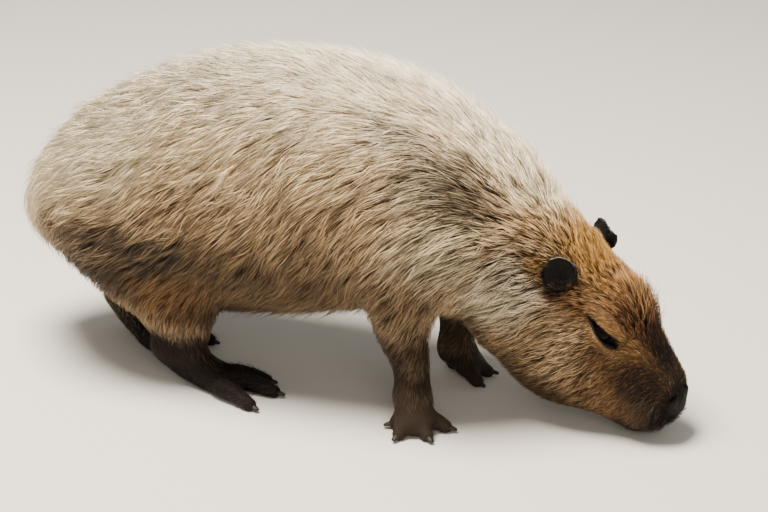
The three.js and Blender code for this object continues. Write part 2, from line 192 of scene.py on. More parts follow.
# A right foot: the palm's rings as reach, height and halves; each toe's fan angle, reach and root
TOES = {
    "fore": {
        "palm": [(-6, 44, (25, 24)), (18, 19, (30, 22))],
        "toes": [(-100, 31, (-2, -13)), (-42, 53, (12, -12)), (12, 60, (18, 4)), (60, 54, (8, 16))],
    },
    "hind": {
        "palm": [
            (-12, 51, (22, 22)),
            (22, 36, (25, 29)),
            (52, 22, (28, 24)),
            (84, 13, (37, 16)),
            (104, 11, (40, 13)),
        ],
        "toes": [(-19, 168, (92, -31)), (1, 178, (100, 2)), (17, 153, (94, 20))],
    },
}
TOE = {"root": 13, "knuckle": 12, "tip": 10.5, "sink": 2.5, "nail": 17}
NAIL = {"length": 23, "width": 12, "height": 10, "ahead": 6, "slope": 0.12, "droop": 0.9, "flat": 0.62}
FOOT_COAT = 0.8
FEET_BELOW = 130
FLOOR_CUT = 0.3

# How near the eyes, the ears and the head's surface their fields are worked out
NEAR = {"eye": 50, "ear": 75, "muzzle": 40, "head": 90}
MUZZLE_FROM = 150  # in the head's frame
HEAD_SKIN_FROM = 260


# Frames


def turned(roll, pitch, yaw):
    """The 3 x 3 matrix of a turn by roll, then pitch, then yaw, in degrees."""
    return np.array(Euler([math.radians(a) for a in (roll, pitch, yaw)], "XYZ").to_matrix())


HEAD_AXES = turned(*HEAD_TURN)


def unit(v):
    """Vectors of length 1, along the last axis."""
    v = np.asarray(v, float)
    return v / np.maximum(np.linalg.norm(v, axis=-1, keepdims=True), 1e-9)


def from_head(at):
    """Points of the head's frame in the part's frame."""
    return np.asarray(at, float) @ HEAD_AXES.T + HEAD_POLL


def head_aim(aim):
    """Directions of the head's frame in the part's frame."""
    return np.asarray(aim, float) @ HEAD_AXES.T


def to_head(p):
    """Points of the part's frame in the head's frame."""
    return (p - np.asarray(HEAD_POLL, float)) @ HEAD_AXES


def sided(v, s):
    """A place or direction given for the left, on the side s."""
    return np.array((v[0], s * v[1], v[2]), float)


def folded(p):
    """Points with those of the right side laid on the left."""
    return np.stack([p[:, 0], np.abs(p[:, 1]), p[:, 2]], -1)


# Fields


def smooth_union(a, b, blend):
    """The union of two fields, rounded where they meet."""
    near = np.maximum(blend - np.abs(a - b), 0) / blend
    return np.minimum(a, b) - near * near * blend / 4


def smooth_cut(a, b, blend):
    """The field a less the field b, rounded where they meet."""
    return -smooth_union(-a, b, blend)


def smooth_share(t, low, high):
    """0 below low, 1 above high, smooth between."""
    s = np.clip((t - low) / (high - low), 0, 1)
    return s * s * (3 - 2 * s)


def spline(points, t):
    """A point of the smooth curve through the points, at t from 0 to 1."""
    points = np.asarray(points, float)
    last = len(points) - 1
    place = min(max(t, 0.0), 1.0) * last
    i = min(int(place), last - 1)
    w = place - i
    before = points[i - 1] if i else 2 * points[0] - points[1]
    after = points[i + 2] if i + 2 <= last else 2 * points[last] - points[last - 1]
    a, b = points[i], points[i + 1]
    va, vb = (b - before) / 2, (after - a) / 2
    return (2 * a - 2 * b + va + vb) * w**3 + (3 * b - 3 * a - 2 * va - vb) * w**2 + va * w + a


class Limb:
    """Elliptical rings along a smooth curve, as a field: negative inside, growing outwards."""

    def __init__(self, rings, shave=0.0, across=(0, 1, 0), square=2.0, steps=3, cap=1.0):
        """Each ring is a centre, a half-width and half-depth, and a coat's depth, cut by shave."""
        count = (len(rings) - 1) * steps
        centres = [r[0] for r in rings]
        halves = [(r[1][0] - shave * r[2], r[1][1] - shave * r[2], 0) for r in rings]
        self.square = square
        self.cap = cap
        self.samples = []
        for i in range(count + 1):
            t = i / count
            along = unit(spline(centres, t + 1e-4) - spline(centres, t - 1e-4))
            side = unit(np.asarray(across, float) - along * np.dot(across, along))
            axes = (along, side, np.cross(along, side))
            self.samples.append((spline(centres, t), axes, spline(halves, t)[:2]))
        ends = np.array([at for at, _, _ in self.samples])
        widest = max(max(half) for _, _, half in self.samples)
        self.middle = ends.mean(0)
        self.reach = np.linalg.norm(ends - self.middle, axis=1).max() + widest + MARGIN

    def __call__(self, points):
        """The field at each point."""
        best = np.full(len(points), FAR)
        close = np.nonzero(((points - self.middle) ** 2).sum(1) < self.reach**2)[0]
        if not len(close):
            return best
        p = points[close]
        value = np.full(len(p), FAR)
        for (a, axes_a, half_a), (b, axes_b, half_b) in zip(self.samples[:-1], self.samples[1:]):
            step = b - a
            reach = np.linalg.norm(step) / 2 + max(*half_a, *half_b) + MARGIN
            near = np.nonzero(((p - (a + b) / 2) ** 2).sum(1) < reach**2)[0]
            if not len(near):
                continue
            off = p[near] - a
            t = np.clip(off @ step / (step @ step), 0, 1)
            off = off - t[:, None] * step
            wide, deep = (half_a[i] + (half_b[i] - half_a[i]) * t for i in (0, 1))
            least = np.minimum(wide, deep)
            sizes = [
                np.abs(off @ axis_a * (1 - t) + off @ axis_b * t) / size
                for axis_a, axis_b, size in zip(axes_a, axes_b, (least * self.cap, wide, deep))
            ]
            if self.square == 2:
                size = np.sqrt(sum(x * x for x in sizes))
            else:
                size = sum(x**self.square for x in sizes) ** (1 / self.square)
            value[near] = np.minimum(value[near], (size - 1) * least)
        best[close] = value
        return best


def pad(p, at, radii):
    """A swelling: the field of an ellipsoid, in the frame of p."""
    away = (p - np.asarray(at, float)) / np.asarray(radii, float)
    return (np.linalg.norm(away, axis=1) - 1) * min(radii)


def foot_frame(leg):
    """The place and axes of a foot."""
    at, heading = leg["foot"]
    return np.asarray(at, float), turned(0, 0, heading)


def toe_line(leg, toe):
    """Root, knuckle and tip of a toe."""
    fan, reach, (out, aside) = toe
    s = -leg["side"]
    turn = math.radians(fan * s)
    span = reach - abs(out) - TOE["nail"]
    at, axes = foot_frame(leg)
    shares = [(0, TOE["root"] + 6), (0.55, TOE["knuckle"] + 3), (1, TOE["tip"] - TOE["sink"])]
    x, y = math.cos(turn) * span, math.sin(turn) * span
    line = [(out + x * k, aside * s + y * k, height) for k, height in shares]
    return np.asarray(line) @ axes.T + at


class Foot:
    """The palm and toes of one foot, as a field."""

    def __init__(self, leg, shave):
        """Takes a row of LEGS and the share of the coat to leave off."""
        at, axes = foot_frame(leg)
        shape = TOES[leg["toes"]]
        palm = [
            ((out, 0, height) @ axes.T + at, half, FOOT_COAT) for out, height, half in shape["palm"]
        ]
        self.palm = Limb(palm, shave, axes[:, 1])
        radii = (TOE["root"], TOE["knuckle"], TOE["tip"])
        self.toes = []
        for toe in shape["toes"]:
            rings = [(p, (r, r), FOOT_COAT) for p, r in zip(toe_line(leg, toe), radii)]
            self.toes.append(Limb(rings, shave, axes[:, 1], steps=2))

    def __call__(self, p):
        """The field at each point."""
        value = self.palm(p)
        for toe in self.toes:
            value = smooth_union(value, toe(p), BLEND["toe"])
        return value


class Body:
    """The whole animal as a field, less a share of its coat: 0 is the coat's tips and 1 the skin."""

    def __init__(self, shave):
        """Takes the share of the coat to leave off."""
        self.shave = shave
        self.axis = Limb(AXIS_RINGS, shave, cap=CAPS["trunk"])
        rings = [(from_head(at), half, coat) for at, half, coat in HEAD_RINGS]
        self.skull = Limb(rings, shave, head_aim((0, 1, 0)), HEAD_SQUARE, cap=CAPS["head"])
        self.legs = [Limb(leg["rings"], shave) for leg in LEGS.values()]
        self.feet = [Foot(leg, shave) for leg in LEGS.values()]

    def head(self, p):
        """The head's field."""
        q, value = to_head(p), self.skull(p)
        for swell, sides, blend in ((LIPS, (1,), "lips"), (CHEEK, SIDES.values(), "cheek")):
            radii = [r - self.shave * swell["coat"] for r in swell["radii"]]
            for s in sides:
                value = smooth_union(value, pad(q, sided(swell["at"], s), radii), BLEND[blend])
        return value

    def __call__(self, p):
        """The field at each point."""
        value = smooth_union(self.axis(p), self.head(p), BLEND["neck"])
        for limb in self.legs:
            value = smooth_union(value, limb(p), BLEND["leg"])
        low = np.nonzero(p[:, 2] < FEET_BELOW)[0]
        if len(low):
            near, floor = value[low], p[low]
            for foot in self.feet:
                near = smooth_union(near, foot(floor), BLEND["foot"])
            value[low] = near
        return value


def slope(field, p, reach=0.6):
    """The field's slope at each point, by forward differences, and the field there."""
    here = field(p)
    out = np.empty_like(p)
    for axis in range(3):
        step = np.zeros(3)
        step[axis] = reach
        out[:, axis] = (field(p + step) - here) / reach
    return out, here


# Eyes, ears, nose and mouth


def eye_frames():
    """Centre of each eye and its axes: along the slit towards the nose, across it, and outwards."""
    frames = {}
    for name, s in SIDES.items():
        lo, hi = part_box("eye_" + name)
        centre = np.array([(a + b) / 2 / MM for a, b in zip(lo, hi)])
        out = unit(head_aim(sided(EYE_OUT, s)))
        along = head_aim(EYE_ALONG)
        along = unit(along - out * np.dot(along, out))
        frames[name] = (centre, np.array([along, np.cross(out, along) * -s, out]))
    return frames


EYES = eye_frames()


def slit_field(q):
    """The opening between the lids, in the eye's frame."""
    a, b = q[:, 0], q[:, 1]
    share = (1 - (a / SLIT["half_length"]) ** 2) * (1 + SLIT["blunt"] * a / SLIT["half_length"])
    middle = -SLIT["slant"] * a
    opening = np.where(b > middle, SLIT["upper"], SLIT["lower"]) * share
    return np.maximum(np.abs(b - middle) - opening, -q[:, 2])


def with_lids(value, p):
    """Lids swell over each eye and part along a slit, which a crease carries on past its corners."""
    for centre, axes in EYES.values():
        near = np.nonzero(((p - centre) ** 2).sum(1) < NEAR["eye"] ** 2)[0]
        if not len(near):
            continue
        q, v = (p[near] - centre) @ axes.T, value[near]
        for at, radii in BROW_AND_POUCH:
            v = smooth_union(v, pad(q, at, radii), BLEND["lid"])
        v = smooth_union(v, np.linalg.norm(q, axis=1) - LID["radius"], BLEND["ball"])
        away = np.abs(q[:, 1] + SLIT["slant"] * q[:, 0]) - LID_CREASE["width"]
        crease = np.maximum(away, np.abs(q[:, 0]) - LID["line"])
        v = smooth_cut(v, np.maximum(crease, -v - LID_CREASE["depth"]), LID["margin"])
        value[near] = smooth_cut(v, slit_field(q), LID["margin"])
    return value


def lid_reach(p):
    """How far each point is from the dark line along which the lids of the nearer eye part."""
    reach = np.full(len(p), LID["far"])
    for centre, axes in EYES.values():
        e = (p - centre) @ axes.T
        a, b = e[:, 0] / LID["line"], e[:, 1] + SLIT["slant"] * e[:, 0]
        half = LID["black"] * np.clip(1 - a**4, 0, 1) * (1 + SLIT["blunt"] * a)
        past = np.maximum(np.abs(e[:, 0]) - LID["line"], 0)
        away = np.hypot(np.maximum(np.abs(b) - half, 0), past)
        near = (np.abs(e) < LID["reach"]).all(1) & (e[:, 2] > LID["behind"])
        reach = np.where(near, np.minimum(reach, away), reach)
    return reach


def ear_frame(s):
    """Middle of an ear's opening and the way that it faces."""
    return from_head(sided(EAR["at"], s)), unit(head_aim(sided(EAR["open"], s)))


def ear_height(p, s):
    """How high on an ear each point is, from -1 at its foot to 1 at its top."""
    return unit(p - ear_frame(s)[0]) @ head_aim(EAR["top"])


def ear_cup(p, s):
    """The fields of an ear's cup, notched behind and folded in front, and of its hollow."""
    centre, out = ear_frame(s)
    q = p - centre
    high = q @ out
    across = np.linalg.norm(q - high[:, None] * out, axis=1)
    bowl = (np.hypot(across / EAR["radius"], high / EAR["depth"]) - 1) * EAR["depth"]
    hollow = (np.hypot(across / EAR["rim"], high / EAR["hollow"]) - 1) * EAR["hollow"]
    cup = smooth_cut(smooth_cut(bowl, hollow, BLEND["crisp"]), -(high + EAR["lip"]), BLEND["edge"])
    aims = (head_aim(EAR[way]) for way in ("back", "front"))
    back, front = (unit(aim - out * np.dot(aim, out)) for aim in aims)
    reach, radius = EAR["notch"]
    notch = np.hypot(q @ back - reach, q @ np.cross(out, back)) - radius
    cup = smooth_cut(cup, notch, BLEND["edge"])
    reach, (deep, wide, tall) = EAR["fold"]
    flap = q - front * reach - out * EAR["lip"]
    sizes = (flap @ front / deep, flap @ np.cross(front, out) / wide, flap @ out / tall)
    fold = np.sqrt(sum(size**2 for size in sizes))
    return smooth_union(cup, (fold - 1) * deep, BLEND["fold"]), hollow


def with_ears(value, p):
    """Each ear is a cup on a short stalk."""
    for s, stalk in EAR_STALKS.items():
        near = np.nonzero(((p - ear_frame(s)[0]) ** 2).sum(1) < NEAR["ear"] ** 2)[0]
        if not len(near):
            continue
        cup, hollow = ear_cup(p[near], s)
        body = smooth_union(value[near], stalk(p[near]), BLEND["stalk"])
        body = smooth_cut(body, hollow, BLEND["edge"])
        value[near] = smooth_union(body, smooth_cut(cup, hollow, BLEND["crisp"]), BLEND["ear"])
    return value


def with_muzzle(value, p):
    """Nostrils, the groove under the nose and the line of the mouth."""
    q = to_head(p)
    near = np.nonzero((q[:, 0] > MUZZLE_FROM) & (np.abs(value) < NEAR["muzzle"]))[0]
    if not len(near):
        return value
    q, v = q[near], value[near]
    u, w = q[:, 0], q[:, 2]
    v = smooth_union(v, pad(q, NOSE["at"], NOSE["radii"]), BLEND["nose"])
    for s in SIDES.values():
        v = smooth_union(v, pad(q, sided(WING["at"], s), WING["radii"]), BLEND["wing"])
    for s in SIDES.values():
        aim, slant = (unit(sided(NOSTRIL[way], s)) for way in ("aim", "slant"))
        r = (q - sided(NOSTRIL["at"], s)) @ np.array([aim, slant, np.cross(aim, slant)]).T
        v = smooth_cut(v, pad(r, (0, 0, 0), NOSTRIL["radii"]), BLEND["edge"])
    groove = np.maximum(np.abs(q[:, 1]) - GROOVE["width"], -v - GROOVE["depth"])
    groove = np.maximum(groove, np.maximum(w - GROOVE["top"], GROOVE["foot"] - w))
    v = smooth_cut(v, groove, BLEND["edge"])
    line = MOUTH["level"] - MOUTH["bow"] * (u - MOUTH["middle"]) ** 2
    line -= MOUTH_CORNER["fall"] * np.clip((MOUTH_CORNER["from"] - u) / MOUTH_CORNER["length"], 0, 1)
    mouth = np.maximum(np.abs(w - line) - MOUTH["width"], -v - MOUTH["depth"])
    value[near] = smooth_cut(v, np.maximum(mouth, MOUTH["end"] - u), BLEND["edge"])
    return value


outline = Body(0.0)
flesh = Body(1.0)
EAR_STALKS = {
    s: Limb([(from_head(sided(at, s)), (radius, radius), 0) for at, radius in EAR_STALK])
    for s in SIDES.values()
}


def skin_field(p):
    """The skin: the body less its coat, with lids, ears and muzzle, cut flat at the floor."""
    value = flesh(p)
    head = np.nonzero((p[:, 0] > HEAD_SKIN_FROM) & (np.abs(value) < NEAR["head"]))[0]
    if len(head):
        q = p[head]
        value[head] = with_ears(with_muzzle(with_lids(value[head], q), q), q)
    return smooth_cut(value, p[:, 2] - FLOOR_CUT, BLEND["crisp"])


# Meshes

BLOCKS_AT_ONCE = 3000  # how many blocks of a grid are sampled together, to save memory


def block_values(field, lo, blocks, cell, block):
    """The field on a grid, sampled finely only in blocks near the surface and FAR elsewhere."""
    centres = [lo[a] + (np.arange(blocks[a]) + 0.5) * cell * block for a in range(3)]
    rough = field(np.stack(np.meshgrid(*centres, indexing="ij"), -1).reshape(-1, 3))
    values = np.full(blocks * block + 1, FAR, np.float32)
    full = np.where(rough < 0, -FAR, FAR).reshape(blocks)
    for axis in range(3):
        full = np.repeat(full, block, axis)
    values[:-1, :-1, :-1] = full
    close = np.nonzero(np.abs(rough) < cell * block + 2)[0]
    corner = np.stack(np.unravel_index(close, blocks), -1) * block
    inner = np.stack(np.meshgrid(*[np.arange(block + 1)] * 3, indexing="ij"), -1).reshape(-1, 3)
    for part in np.array_split(np.arange(len(close)), max(1, len(close) // BLOCKS_AT_ONCE)):
        at = (corner[part][:, None, :] + inner[None]).reshape(-1, 3)
        values[tuple(at.T)] = field(lo + at * cell)
    for axis in range(3):
        edge = [slice(None)] * 3
        for end in (0, -1):
            edge[axis] = end
            values[tuple(edge)] = np.maximum(values[tuple(edge)], 1)
    return values


def polygonise(field, lo, hi, cell, block=5):
    """The closed mesh of a field in a box, as points and quads: one point in each cell it crosses."""
    lo, hi = np.asarray(lo, float), np.asarray(hi, float)
    blocks = np.ceil((hi - lo) / (cell * block)).astype(int)
    values = block_values(field, lo, blocks, cell, block)
    inside = values < 0
    n = values.shape
    count = np.zeros([k - 1 for k in n], np.int8)
    corners = [(i, j, k) for i in (0, 1) for j in (0, 1) for k in (0, 1)]
    for i, j, k in corners:
        count += inside[i : n[0] - 1 + i, j : n[1] - 1 + j, k : n[2] - 1 + k]
    cells = np.stack(np.nonzero((count > 0) & (count < 8)), -1)
    total, hits = np.zeros((len(cells), 3)), np.zeros(len(cells))
    for c in corners:
        for axis in range(3):
            if c[axis]:
                continue
            a = cells + c
            b = a.copy()
            b[:, axis] += 1
            va, vb = (values[tuple(end.T)].astype(float) for end in (a, b))
            cross = (va < 0) != (vb < 0)
            spot = np.tile(np.array(c, float), (len(cells), 1))
            spot[:, axis] += np.where(cross, va / np.where(cross, va - vb, 1), 0)
            total += spot * cross[:, None]
            hits += cross
    points = lo + (cells + total / hits[:, None]) * cell
    for _ in range(2):
        grade, value = slope(field, points, 0.3)
        move = -value / np.maximum((grade**2).sum(1), 0.2)
        points += np.clip(move, -cell * 0.5, cell * 0.5)[:, None] * grade
    index = np.full(count.shape, -1, np.int32)
    index[tuple(cells.T)] = np.arange(len(cells))
    quads = []
    for axis in range(3):
        ahead, here = [slice(1, -1)] * 3, [slice(1, -1)] * 3
        ahead[axis], here[axis] = slice(1, None), slice(0, -1)
        flips = np.stack(np.nonzero(inside[tuple(here)] != inside[tuple(ahead)]), -1) + 1
        flips[:, axis] -= 1
        f, g = np.zeros(3, int), np.zeros(3, int)
        f[(axis + 1) % 3] = g[(axis + 2) % 3] = 1
        quad = np.stack([index[tuple((flips - s).T)] for s in (0 * f, f, f + g, g)], -1)
        outer = ~inside[tuple(flips.T)]
        quad[outer] = quad[outer][:, ::-1]
        quads.append(quad)
    return points, np.concatenate(quads)


def new_mesh(name, points, *faces):
    """A mesh in metres from points in millimetres and arrays of quads or triangles, smooth all over."""
    mesh = bpy.data.meshes.new(name)
    mesh.vertices.add(len(points))
    mesh.vertices.foreach_set("co", (points * MM).astype(np.float32).ravel())
    loops = np.concatenate([part.ravel() for part in faces]).astype(np.int32)
    sizes = np.concatenate([np.full(len(part), part.shape[1]) for part in faces])
    mesh.loops.add(len(loops))
    mesh.loops.foreach_set("vertex_index", loops)
    mesh.polygons.add(len(sizes))
    mesh.polygons.foreach_set("loop_start", (np.cumsum(sizes) - sizes).astype(np.int32))
    mesh.polygons.foreach_set("use_smooth", np.ones(len(sizes), bool))
    mesh.update(calc_edges=True)
    return mesh


def closed_rings(rings, poles, start=0):
    """Points of rings and of the two poles that close them, with their quads and triangles.

    Seen from beyond the first pole the rings run anticlockwise. The points count from start.
    """
    rows, turns = rings.shape[:2]
    grid = start + np.arange(rows * turns).reshape(rows, turns)
    after = np.roll(grid, -1, axis=1)
    quads = np.stack([grid[:-1], grid[1:], after[1:], after[:-1]], -1).reshape(-1, 4)
    first, last = np.full((2, turns), grid.size + start) + [[0], [1]]
    caps = [np.stack(cap, -1) for cap in ((first, grid[0], after[0]), (last, after[-1], grid[-1]))]
    return np.concatenate([rings.reshape(-1, 3), poles]), quads, np.concatenate(caps)


def store(mesh, name, kind, values):
    """Puts values on a mesh's points as a named attribute; a colour gets full alpha."""
    if kind == "FLOAT_COLOR":
        values = np.concatenate([values, np.ones((len(values), 1))], 1)
    field = {"FLOAT": "value", "FLOAT_VECTOR": "vector", "FLOAT_COLOR": "color"}[kind]
    mesh.attributes.new(name, kind, "POINT").data.foreach_set(field, values.astype(np.float32).ravel())


def linked(name, data):
    """A new object in the scene."""
    item = bpy.data.objects.new(name, data)
    bpy.context.scene.collection.objects.link(item)
    return item


def plain_mesh(item, modifier):
    """What an object's modifier makes of it, as a plain mesh. The object goes."""
    bpy.context.view_layer.update()
    depsgraph = bpy.context.evaluated_depsgraph_get()
    mesh = bpy.data.meshes.new_from_object(item.evaluated_get(depsgraph))
    item.modifiers.remove(modifier)
    bpy.data.objects.remove(item)
    return mesh


def place(name, mesh, material, slot, nodes=()):
    """A finished piece of the animal, riding the one body in place of some of its nodes."""
    piece = linked(name, mesh)
    mesh.materials.clear()
    mesh.materials.append(material)
    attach(piece, "root")
    if nodes:
        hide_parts(*nodes)
    return piece


# Colours and markings, with painted shade and a painted highlight


def linear(colour):
    """An sRGB hex colour as linear red, green and blue."""
    parts = [int(colour[i : i + 2], 16) / 255 for i in (1, 3, 5)]
    return np.array([c / 12.92 if c <= 0.04045 else ((c + 0.055) / 1.055) ** 2.4 for c in parts])


# The coat's colours, painted in this order: place, centre, radii, hair's tip, hair's root, dark hairs
BASE_COAT = ("#EED2A8", "#57412A", 0.22)
BODY_MARKS = [
    # belly: its own brown, painted darker still as shade under the body
    ("belly", (-40, 0, 105), (400, 190, 120), "#776449", "#2F2318", 0.28),
    ("flank", (-80, 165, 300), (340, 100, 120), "#E4C294", "#312215", 0.42),
    # low flank: its own brown, painted darker as shade under the body
    ("shaded low flank", (-90, 130, 200), (270, 90, 92), "#7E6648", "#2C2015", 0.36),
    ("upper flank", (-90, 140, 400), (330, 80, 76), "#FBE1B6", "#6A5134", 0.2),
    ("back", (-90, 0, 490), (460, 180, 140), "#FFF3D8", "#D2BC94", 0.02),
    ("rump side", (-350, 110, 380), (150, 120, 110), "#FFF2D4", "#AE925F", 0.08),
    ("rump", (-440, 0, 330), (140, 180, 130), "#FFF0CC", "#BEA276", 0.04),
    ("withers", (230, 0, 420), (170, 75, 110), "#FBEDD2", "#957D57", 0.1),
    ("shoulder", (196, 118, 378), (92, 62, 76), "#C4B497", "#30261C", 0.44),
    ("shoulder top", (112, 100, 432), (62, 42, 34), "#E8D8BA", "#54473A", 0.34),
    ("shoulder patch", (222, 112, 350), (60, 52, 60), "#8E7A5E", "#261D15", 0.56),
    ("shoulder point", (196, 140, 270), (90, 60, 70), "#EAD7B2", "#3A2C1D", 0.36),
    ("elbow", (130, 130, 200), (90, 60, 60), "#947A5A", "#2C2016", 0.36),
    ("nape", (300, 0, 350), (60, 70, 70), "#FAEBC8", "#85704F", 0.08),
    ("nape side", (318, 66, 298), (60, 50, 55), "#E2BE8A", "#55402A", 0.24),
    ("throat", (270, 0, 120), (90, 120, 70), "#B49874", "#3E2F20", 0.26),
    ("side of the neck", (262, 92, 212), (52, 50, 44), "#FFEDCC", "#3A2A1B", 0.24),
    ("thigh rear", (-392, 140, 230), (64, 80, 34), "#A48868", "#2C2016", 0.46),
    ("thigh", (-305, 165, 238), (86, 60, 40), "#92785E", "#1C140E", 0.66),
    ("thigh front", (-226, 155, 226), (66, 60, 36), "#786550", "#18110C", 0.7),
    ("under thigh", (-320, 120, 176), (170, 110, 44), "#5A4630", "#22170F", 0.38),
    ("buttock", (-455, 0, 165), (70, 110, 50), "#7A6042", "#302116", 0.3),
    ("knee", (-215, 130, 146), (90, 70, 54), "#8A6842", "#302013", 0.28),
    ("groin", (-150, 60, 125), (120, 90, 40), "#54412A", "#231810", 0.28),
    ("far thigh", (-375, 90, 150), (80, 70, 50), "#4E3522", "#20150D", 0.3),
    ("far shank", (-385, 64, 92), (76, 62, 50), "#33231A", "#160E0A", 0.3),
    ("shank", (-235, 100, 70), (100, 80, 28), "#2A1B12", "#130C08", 0.3),
    ("forearm", (140, 105, 122), (76, 64, 56), "#48321E", "#1D130C", 0.3),
    ("wrist", (148, 100, 75), (76, 76, 44), "#382A1F", "#1A120D", 0.3),
    ("hind feet", (-200, 90, 14), (330, 170, 58), "#150E0A", "#0A0705", 0.25),
    ("fore feet", (160, 100, 15), (120, 110, 52), "#44352A", "#1D140F", 0.25),
]
HEAD_MARKS = [
    ("whole head", (115, 0, -70), (190, 160, 190), "#A97F51", "#46301D", 0.24),
    ("jowl", (64, 70, -112), (96, 70, 112), "#D8B88C", "#3A2A1B", 0.4),
    # jaw: its own brown, painted darker as shade under the head
    ("shaded jaw", (110, 40, -170), (120, 80, 46), "#6C543A", "#241910", 0.36),
    ("crown", (10, 0, 25), (80, 80, 55), "#B48641", "#503618", 0.14),
    ("temple", (40, 70, -10), (56, 40, 36), "#957046", "#3E2A19", 0.22),
    ("forehead", (95, 0, 16), (65, 60, 40), "#BE8E56", "#3A2515", 0.3),
    ("above the brow", (106, 34, 8), (40, 30, 28), "#6E4828", "#26170D", 0.34),
    ("neck streaks", (-34, 95, -66), (56, 64, 88), "#FFEDCC", "#38281A", 0.26),
    ("behind the ear", (-26, 84, -6), (26, 34, 22), "#C49C64", "#564026", 0.2),
    ("under the ear", (12, 84, -24), (26, 34, 18), "#54361F", "#22150C", 0.35),
    ("foot of the ear", (15, 72, -5), (26, 24, 20), "#1C120C", "#100A07", 0.4),
    ("below the eye", (124, 62, -62), (44, 36, 26), "#84623C", "#362618", 0.3),
    ("lower cheek", (140, 62, -112), (44, 44, 40), "#B28E64", "#2A1C12", 0.42),
    ("side of the nose", (184, 50, -50), (46, 44, 48), "#452E1C", "#1B110B", 0.34),
    ("bridge", (176, 0, -12), (62, 38, 34), "#2B1D15", "#130C08", 0.35),
    ("bridge top", (138, 4, 4), (42, 32, 26), "#50321C", "#1E120B", 0.38),
    ("muzzle", (242, 0, -74), (86, 92, 92), "#140D09", "#070504", 0.3),
    ("lips", (220, 0, -132), (72, 60, 38), "#1A120D", "#0B0705", 0.3),
]
LID_MARKS = [
    ("upper lid", (0, 15, 8), (27, 8, 12), "#8E673B", "#5A3F25"),
    ("lower lid", (0, -19, 6), (28, 8, 12), "#957148", "#523A24"),
]
FLECKS = {"from": 152, "share": 0.08, "colour": "#9C7446"}
BARE = {
    "lid": "#0B0806",
    "ear": "#0B0807",
    # the ear rim's pale colour is a painted highlight, laid only along the top of each ear's rim
    "ear rim highlight": "#8C8178",
    "hind foot": "#17100C",
    "fore foot": "#2A2119",
    "nose": "#0D0907",
}
BARE_BELOW = {"hind": 88, "fore": 70, "soft": 34}  # heights under which the legs' skin bares
BARE_MUZZLE = [((246, 12, -58), (16, 24, 24), 1.0), ((238, 0, -120), (40, 50, 10), 0.8)]
HEAD_FROM = 250  # bare skin further ahead than this is the head's
SOFTNESS = {"level": 1.45, "fall": 1.2}  # a place is full to 0.38 of its radii and gone at 1.21
UNDER = {"depth": 9, "root": 0.8, "thin root": 0.1, "thin tip": 0.22}  # skin's colour under the coat
LID_EDGE = {"colour": (0.8, 3.4), "bare": (0.6, 2.6), "black": 5}
EAR_FOOT = (-0.9, -0.6)  # heights between which an ear's bare skin begins
EAR_BARE = {"from": 3.5, "soft": 2, "near": 32}
# where the painted highlight lies on an ear's rim: how far out along the opening, how high on the ear,
# how near the hollow's edge
EAR_RIM_HIGHLIGHT = {"high": (-4.2, -2.2), "top": (0.25, 0.7), "lip": (-0.5, 1.0)}
WANDERINGS = ((70, 11), (60, 12), (65, 13))  # size and seed of what frays the markings, on each axis
FRAY = 9
EYE_COLOURS = {"pupil": "#030202", "iris": "#0C0705", "white": "#080605"}


def soft(p, at, radii):
    """1 in the middle of a place, 0 outside it, with a wide soft edge."""
    away = np.linalg.norm((p - np.asarray(at, float)) / np.asarray(radii, float), axis=1)
    return smooth_share(SOFTNESS["level"] - away * SOFTNESS["fall"], 0, 1)


def wander(p, size, seed):
    """A smooth pattern from -1 to 1 whose patches are about size across."""
    rng = np.random.default_rng(seed)
    total = np.zeros(len(p))
    for _ in range(5):
        way = unit(rng.normal(size=3)) * (2 * math.pi / size) * rng.uniform(0.6, 1.5)
        total += np.sin(p @ way + rng.uniform(0, 2 * math.pi))
    return np.clip(total / 2.6, -1, 1)


def markings_and_painted_light(p):
    """Colour of the hair's tip and root and the share of dark hairs at each point, with painted shade
    under the body and on the jaw.
    """
    tip, root = (np.tile(linear(colour), (len(p), 1)) for colour in BASE_COAT[:2])
    dark = np.full(len(p), BASE_COAT[2])
    frayed = p + FRAY * np.stack([wander(p, size, seed) for size, seed in WANDERINGS], -1)
    layers = [(folded(frayed), BODY_MARKS), (folded(to_head(frayed * 0.4 + p * 0.6)), HEAD_MARKS)]
    layers += [((p - centre) @ axes.T, LID_MARKS) for centre, axes in EYES.values()]
    for where, marks in layers:
        for _, at, radii, tip_colour, root_colour, *share in marks:
            s = soft(where, at, radii)
            tip += s[:, None] * (linear(tip_colour) - tip)
            root += s[:, None] * (linear(root_colour) - root)
            for dark_share in share:
                dark += s * (dark_share - dark)
    black = 1 - smooth_share(lid_reach(p), *LID_EDGE["colour"])[:, None]
    lid = linear(BARE["lid"])
    return tip + black * (lid - tip), root + black * (lid - root), dark


def bareness(p):
    """How bare the skin is at each point: 1 on feet, ears, nose and lid rims."""
    ankle = np.where(p[:, 0] < 0, BARE_BELOW["hind"], BARE_BELOW["fore"])
    bare = np.clip((ankle - p[:, 2]) / BARE_BELOW["soft"], 0, 1) * (p[:, 0] < HEAD_FROM)
    q = to_head(p)
    head = np.nonzero(q[:, 0] > -40)[0]
    for s in SIDES.values():
        cup = np.minimum(*ear_cup(p[head], s))
        low = smooth_share(ear_height(p[head], s), *EAR_FOOT)
        shown = np.clip((EAR_BARE["from"] - cup) / EAR_BARE["soft"], 0, 1)
        bare[head] = np.maximum(bare[head], shown * low)
    for at, radii, share in BARE_MUZZLE:
        bare = np.maximum(bare, soft(folded(q), at, radii) * share)
    return np.maximum(bare, 1 - smooth_share(lid_reach(p), *LID_EDGE["bare"]))


